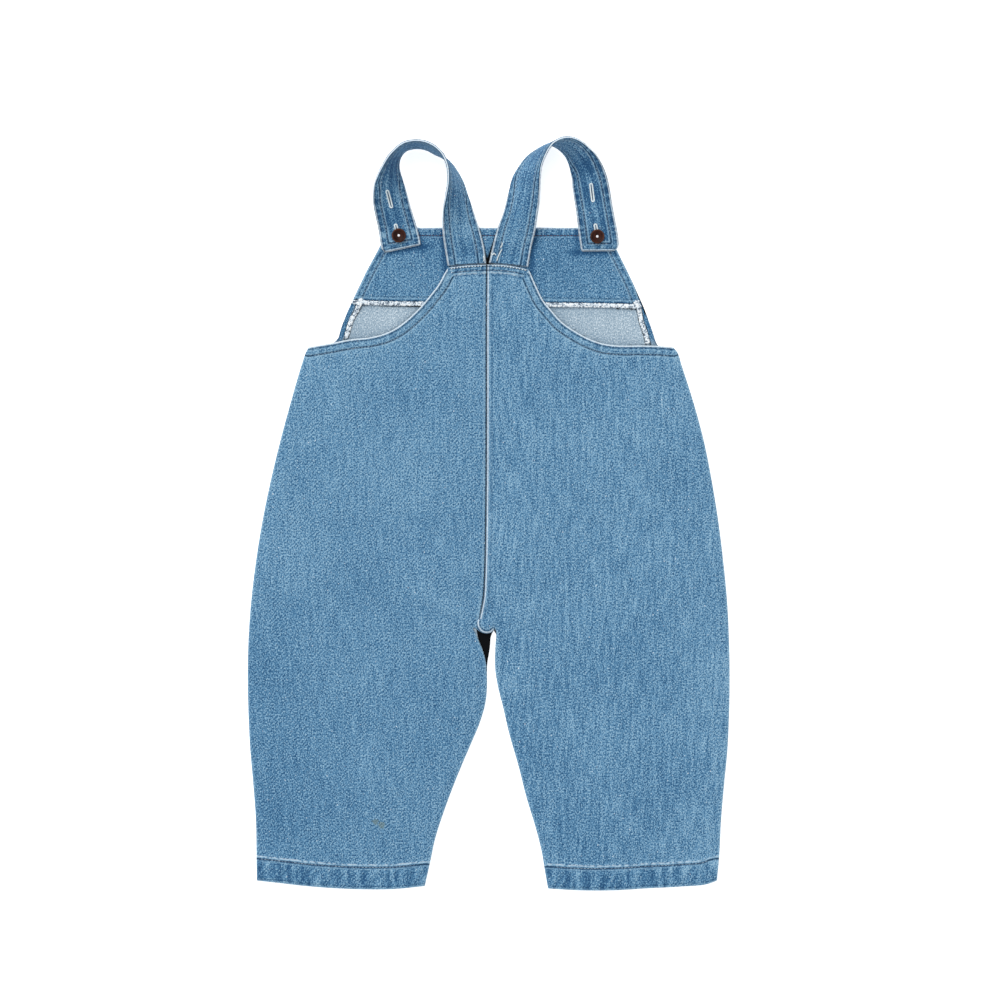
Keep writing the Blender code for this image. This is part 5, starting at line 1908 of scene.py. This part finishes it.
class OVERALLS_OT_front(bpy.types.Operator):
    """Both halves of the front with the bib, lying face down at the bottom"""

    bl_idname = "overalls.front"
    bl_label = "Front Panels"

    def execute(self, context):
        made_groups()
        cloth = context.scene.overalls_cloth
        lines = (
            # Painted shadow under the facing's serged edge, beside the serged side turnings and under
            # the back's armhole edge
            ("low", 0.8, 1.25, 0.9, 0.15, cloth.shade, 1.0),
            ("serged", 1.9, 1.0, 0.7, 0.3, cloth.shade, 0.9),
            ("arm", 0.6, 1.6, 0.3, 0.0, cloth.shade, 0.25),
        )
        finish = denim("denim_front", cloth, wrong_lines=lines, slub=0.6, sheen=0.04)
        for name, half in (("front_left", LEFT), ("front_right", RIGHT)):
            piece = front_panel(name, half, cloth, finish)
        return {"FINISHED"}


class OVERALLS_OT_back(bpy.types.Operator):
    """Both halves of the back, each with its leg, its hem and its armhole edge"""

    bl_idname = "overalls.back"
    bl_label = "Back Panels"

    def execute(self, context):
        made_groups()
        cloth = context.scene.overalls_cloth
        shade, worn, deep, faded = cloth.shade, cloth.worn, cloth.deep, cloth.faded
        dark = groove(cloth)
        below = (
            # A paler line along the folded sides and inside legs
            ("side", 0.0, 2.0, 1.0, 0.4, faded, 0.5),
            ("hem", HEM_STITCH, 1.05, 0.4, 0.1, dark, 1.0),
            ("hem", HEM_STITCH + 1.8, 1.1, 1.3, 0.95, worn, 0.6),
            ("hem", HEM_STITCH + 1.3, 0.9, 0.6, 0.6, faded, 0.8),
            ("hem", HEM_STITCH - 1.5, 0.9, 0.8, 0.5, faded, 0.5),
            ("hem", 0.3, 1.3, 1.2, 0.7, faded, 0.7),
            ("hem", 2.4, 0.9, 0.9, 0.5, dark, 0.4),
        )
        above = (
            ("edge", ARMHOLE_STITCH + 1.3, 0.9, 0.5, 0.5, faded, 0.75),
            ("edge", ARMHOLE_STITCH - 1.2, 0.8, 0.6, 0.6, faded, 0.5),
            ("edge", ARMHOLE_STITCH, 0.95, 0.3, 0.15, dark, 1.0),
            ("edge", 3.6, 1.1, 1.2, 0.6, faded, 0.45),
            ("edge", 2.0, 0.85, 0.4, 0.25, dark, 0.7),
            ("edge", 0.3, 1.35, 0.25, 0.05, worn, 1.0),
            ("edge", TOP_FROM + 1.3, 1.1, 0.3, 0.1, dark, 0.9),
            ("edge", TOP_FROM + 0.1, 0.7, 0.5, 0.4, worn, 0.6),
            ("edge", TOP_FROM + TOP_STITCH, 1.0, 0.4, 0.15, dark, 0.85),
            ("edge", TOP_FROM + TOP_STITCH + 1.9, 1.3, 1.6, 0.95, worn, 0.6),
            ("edge", TOP_FROM + TOP_STITCH + 1.6, 1.2, 0.9, 0.5, faded, 0.6),
        )
        # Painted shadow in the gap between the two halves of the back
        painted_seam_shadow = ("seam", 0.0, 0.8, 0.2, 0.0, shade, 0.65)
        left_lines = (*below, ("seam", 1.9, 1.0, 0.5, 0.5, faded, 0.7), painted_seam_shadow, *above)
        right_lines = (
            *below,
            ("seam", 4.6, 0.8, 0.5, 0.5, deep, 0.3),
            ("seam", 2.6, 1.2, 0.6, 0.5, faded, 0.4),
            ("seam", 1.3, 0.85, 0.3, 0.15, worn, 0.82),
            painted_seam_shadow,
            *above,
        )
        marks = (
            (-90.4, -246.8, 3.0, cloth.stain, 0.5),
            (-85.3, -249.4, 3.6, cloth.stain, 0.5),
            (-98.0, -240.0, 1.6, faded, 0.6),
            (-112.4, -240.0, 1.3, faded, 0.5),
            (-121.4, -273.6, 1.4, deep, 0.7),
        )
        left = denim("denim_back_left", cloth, left_lines, marks, twill=0.75, slub=0.8)
        right = denim("denim_back_right", cloth, right_lines, twill=0.35, slub=1.15)
        for name, half, finish in (("back_left", LEFT, left), ("back_right", RIGHT, right)):
            piece = back_panel(name, half, cloth, finish)
        end_lines = (
            ("side", 2.6, 0.8, 0.4, 0.3, faded, 0.5),
            ("side", 1.3, 0.7, 0.3, 0.2, dark, 0.75),
            ("side", 0.1, 0.8, 0.2, 0.1, worn, 0.85),
        )
        rolled = denim("denim_seam_end", cloth, end_lines, wrong=False)
        seam_end(rolled)
        return {"FINISHED"}


class OVERALLS_OT_facing(bpy.types.Operator):
    """The facing on the inside of the bib, with puckers under its stitched edges"""

    bl_idname = "overalls.facing"
    bl_label = "Bib Facing"

    def execute(self, context):
        made_groups()
        cloth = context.scene.overalls_cloth
        shade, worn, faded, dark = cloth.shade, cloth.worn, cloth.faded, groove(cloth)
        lines = (
            ("edge", 0.2, 1.1, 0.6, 0.4, faded, 0.7),
            ("edge", TOP_FROM + 0.2, 1.1, 0.7, 0.4, worn, 0.5),
            ("edge", 2.0, 0.8, 0.7, 0.4, dark, 0.4),
            ("edge", BIB_SIDE_STITCH + 1.2, 0.8, 0.5, 0.5, faded, 0.8),
            ("edge", BIB_SIDE_STITCH - 1.3, 0.8, 0.6, 0.6, faded, 0.5),
            ("edge", BIB_SIDE_STITCH, 0.85, 0.3, 0.2, dark, 0.75),
            ("edge", TOP_FROM + BIB_TOP_STITCH, 0.8, 0.3, 0.2, dark, 0.6),
            ("edge", TOP_FROM + BIB_TOP_STITCH + 1.3, 0.9, 0.7, 0.6, faded, 0.4),
            # Painted shade along the top of the serged edge
            ("low", 3.5, 0.9, 0.3, 0.5, shade, 0.8),
            ("low", 5.4, 0.9, 0.7, 0.5, faded, 0.6),
            ("low", 6.8, 0.8, 0.4, 0.3, dark, 0.45),
        )
        finish = denim("denim_facing", cloth, lines, slub=0.7, sheen=0.06)
        piece = facing_panel(cloth, finish)
        return {"FINISHED"}


class OVERALLS_OT_straps(bpy.types.Operator):
    """Both shoulder straps, each turned over on its edge in a loop"""

    bl_idname = "overalls.straps"
    bl_label = "Shoulder Straps"

    def execute(self, context):
        made_groups()
        cloth = context.scene.overalls_cloth
        worn, faded, dark = cloth.worn, cloth.faded, groove(cloth)
        lines = (
            ("side", STRAP_STITCH + 1.3, 0.9, 0.5, 0.4, faded, 0.8),
            ("side", STRAP_STITCH - 1.2, 0.8, 0.6, 0.6, faded, 0.5),
            ("side", STRAP_STITCH, 1.0, 0.3, 0.1, dark, 0.95),
            ("side", 3.9, 0.8, 0.4, 0.4, dark, 0.35),
            ("side", 2.2, 0.85, 0.4, 0.3, dark, 0.7),
            ("side", 0.45, 1.4, 0.25, 0.1, worn, 1.0),
            # Painted shade: the dark lines on each side of the rim's worn white middle
            ("layer", 0.11, 0.10, 0.02, 0.2, dark, 1.0),
            ("layer", 0.40, 0.27, 0.03, 0.0, worn, 1.0),
            ("layer", 0.61, 0.27, 0.03, 0.0, worn, 1.0),
            ("layer", 0.90, 0.09, 0.02, 0.1, dark, 1.0),
        )
        finish = denim("denim_straps", cloth, lines, slub=1.0, twill=0.55, wrong=False, sheen=0.06)
        for side, strap in STRAPS.items():
            piece, full = strap_piece(f"strap_{side}", strap, cloth, finish)
        return {"FINISHED"}


class OVERALLS_OT_buttons(bpy.types.Operator):
    """The brown buttons with the pale heads of their pins, near white to stand in for a painted
    highlight as well
    """

    bl_idname = "overalls.buttons"
    bl_label = "Buttons"

    def execute(self, context):
        buttons = context.scene.overalls_buttons
        finish = shared_finish("button_brown_turned", button_finish, buttons)
        pin = shared_finish("pin_head", pin_and_highlight_finish, buttons)
        fine = np.array(BUTTON_SECTION[1:-1])
        knots = length_to(fine)
        profile = spline(knots, fine, np.linspace(0.0, knots[-1], BUTTON_STEPS))
        profile = np.vstack((profile, (0.25, 0.9)))
        rubbed = bump(profile[:, 0] - 5.35, 0.55) * (profile[:, 1] > 1.4)
        for name, place in (("button_left", BUTTON_LEFT_AT), ("button_right", BUTTON_RIGHT_AT)):
            piece = turned_piece(
                name + "_turned", profile, place, BUTTON_BASE, buttons.steps, {"rubbed": rubbed},
                finish,
            )
            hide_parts(name)
            turned_piece(
                name + "_pin_and_highlight", PIN_SECTION, place, BUTTON_BASE + PIN_BASE, PIN_STEPS, {},
                pin,
            )
        return {"FINISHED"}


class OVERALLS_OT_buttonholes(bpy.types.Operator):
    """Worked buttonholes on the front ends of the straps, two on each"""

    bl_idname = "overalls.buttonholes"
    bl_label = "Buttonholes"

    def execute(self, context):
        cloth = context.scene.overalls_cloth
        finish = white_thread(context.scene.overalls_thread)
        slit = shared_finish("buttonhole_slit", painted_shade_finish, tuple(value * 0.3 for value in cloth.deep))
        run = np.arange(BUTTONHOLE_STEPS) * 0.25
        ridges = 0.85 + 0.22 * np.sin(2.0 * np.pi * run / 0.8)
        share = even(SLIT_STEPS)
        taper = np.sin(np.pi * np.clip(share, 0.04, 0.96)) ** 0.5
        for number, (side, x0, y0, x1, y1) in enumerate(BUTTONHOLES):
            strap, name = STRAPS[side], f"buttonhole_{side}_{number % 2 + 1}"
            start, end = np.array((x0, y0)), np.array((x1, y1))
            slot = stadium(start, end, BUTTONHOLE_WIDTH, BUTTONHOLE_STEPS)
            path, up = on_strap(strap, slot, cloth)
            wide, tall = 0.72 * ridges, 0.45 * ridges
            tube(name, path, up, wide, tall, finish, turns=8, closed=True)
            middle = start + (end - start) * (0.08 + 0.84 * share[:, None])
            path, up = on_strap(strap, middle, cloth)
            # A dark bead along the middle of each buttonhole: painted shade in its slit
            tube(name + "_slit", path, up, 0.5 * taper, 0.2 * taper, slit, turns=8)
        return {"FINISHED"}


class OVERALLS_OT_stitches(bpy.types.Operator):
    """Every row of stitches that shows, stitch by stitch"""

    bl_idname = "overalls.stitches"
    bl_label = "Stitches"

    def execute(self, context):
        cloth = context.scene.overalls_cloth
        sewing = context.scene.overalls_thread
        blue = shared_finish("thread_blue", thread, sewing.pale, sewing.blue)
        white = white_thread(sewing)
        rust_pale = tuple(value * 1.25 for value in sewing.rust)
        rust = shared_finish("thread_rust", thread, rust_pale, sewing.rust)
        size = (sewing.stitch, sewing.gap, sewing.radius)
        for side, half in (("left", LEFT), ("right", RIGHT)):
            # A line's left is its inner side where it runs so; otherwise the distance is negative
            turn = 1.0 if side == "left" else -1.0
            hem = back_run(half["hem"], turn * HEM_STITCH, 0.01, 0.99, half, cloth)
            stitches(f"stitches_hem_{side}", [hem], *size, blue, "denim")
            arm = back_run(half["armhole"], -turn * ARMHOLE_STITCH, 0.02, 0.955, half, cloth)
            stitches(f"stitches_armhole_{side}", [arm], *size, blue, "denim")
            top = back_run(half["top"], -turn * TOP_STITCH, 0.2, 0.97, half, cloth)
            low = back_run(half["top"], -turn * 1.1, 0.05, 0.97, half, cloth)
            stitches(f"stitches_back_top_{side}", [top], *size, blue, "denim")
            stitches(f"stitches_back_edge_{side}", [low], 1.5, 0.9, 0.42, white, "denim")
        edges = facing_edges()
        top = facing_run(edges["top"], -BIB_TOP_STITCH, 0.02, 0.98, cloth)
        sides = [
            facing_run(edges["left"], -BIB_SIDE_STITCH, 0.06, 0.93, cloth),
            facing_run(edges["right"], BIB_SIDE_STITCH, 0.06, 0.93, cloth),
        ]
        stitches("stitches_facing_top", [top], *size, rust, "denim")
        stitches("stitches_facing_sides", sides, *size, blue, "denim")
        for side, strap in STRAPS.items():
            runs = []
            for face in (-1.0, 1.0):
                runs += [strap_run(strap, face, cloth, from_inner) for from_inner in (False, True)]
                runs.append(strap_end_run(strap, face, cloth))
            stitches(f"stitches_strap_{side}", runs, *size, blue, "denim")
        return {"FINISHED"}


class OVERALLS_OT_serging(bpy.types.Operator):
    """Overlocked edges of the facing and of the bib's side turnings"""

    bl_idname = "overalls.serging"
    bl_label = "Serged Edges"

    def execute(self, context):
        cloth = context.scene.overalls_cloth
        finish = shared_finish("serging_white", serging_finish, cloth)
        path, _ = facing_run(FACING_LOWER, 1.3, 0.0, 1.0, cloth, 0.35)
        serged_edge("serging_facing", path, 1.75, 0.7, 0.6, finish)
        for side, rows in (("left", SERGED_LEFT), ("right", SERGED_RIGHT)):
            places = line(rows, even(SERGING_STEPS))
            height = CLOTH + BIB_EXTRA * (1.0 - smooth_step(places[:, 1], *BIB_TURNING_END)) + 0.2
            height = height + 1.7 * smooth_step(places[:, 1], 158.0, 165.0)
            serged_edge(f"serging_{side}", flat_to(places, height), 1.8, 0.6, 2.3, finish, 0.4)
        return {"FINISHED"}


class OVERALLS_OT_loose_threads(bpy.types.Operator):
    """Loose ends of white thread where the straps meet the back"""

    bl_idname = "overalls.loose_threads"
    bl_label = "Loose Threads"

    def execute(self, context):
        finish = white_thread(context.scene.overalls_thread)
        run = even(LOOSE_THREAD_STEPS)
        size = 0.42 * np.clip(np.minimum(run, 1.0 - run) * 14.0, 0.2, 1.0)
        height = 5.25 + 0.35 * np.sin(np.pi * run)
        for number, rows in enumerate(LOOSE_THREADS):
            path = flat_to(line(rows, run), height)
            name = f"loose_thread_{number + 1}"
            tube(name, path, upward(path), size, size, finish, turns=6)
        return {"FINISHED"}


class OVERALLS_PT_pieces(bpy.types.Panel):
    """Every piece of the overalls, in the order in which they are made"""

    bl_idname = "OVERALLS_PT_pieces"
    bl_label = "Overalls"
    bl_space_type = "VIEW_3D"
    bl_region_type = "UI"
    bl_category = "Overalls"

    def draw(self, context):
        for name, group in SETTINGS:
            box = self.layout.box()
            settings = getattr(context.scene, name)
            for label in group.__annotations__:
                box.prop(settings, label)
        for maker in OPERATORS:
            self.layout.operator(maker.bl_idname)


OPERATORS = (
    OVERALLS_OT_stage,
    OVERALLS_OT_front,
    OVERALLS_OT_back,
    OVERALLS_OT_facing,
    OVERALLS_OT_straps,
    OVERALLS_OT_buttons,
    OVERALLS_OT_buttonholes,
    OVERALLS_OT_stitches,
    OVERALLS_OT_serging,
    OVERALLS_OT_loose_threads,
)


def register():
    """Make the settings, operators and panel known to Blender."""
    for name, group in SETTINGS:
        bpy.utils.register_class(group)
        setattr(bpy.types.Scene, name, PointerProperty(type=group))
    for maker in (*OPERATORS, OVERALLS_PT_pieces):
        bpy.utils.register_class(maker)


def unregister():
    """Take them out again."""
    for maker in reversed((*OPERATORS, OVERALLS_PT_pieces)):
        bpy.utils.unregister_class(maker)
    for name, group in reversed(SETTINGS):
        delattr(bpy.types.Scene, name)
        bpy.utils.unregister_class(group)


def main():
    """Make every piece in order."""
    register()
    for maker in OPERATORS:
        space, name = maker.bl_idname.split(".")
        result = getattr(getattr(bpy.ops, space), name)()
        if result != {"FINISHED"}:
            raise RuntimeError(f"{maker.bl_label} wasn't finished")


if __name__ == "__main__":
    main()
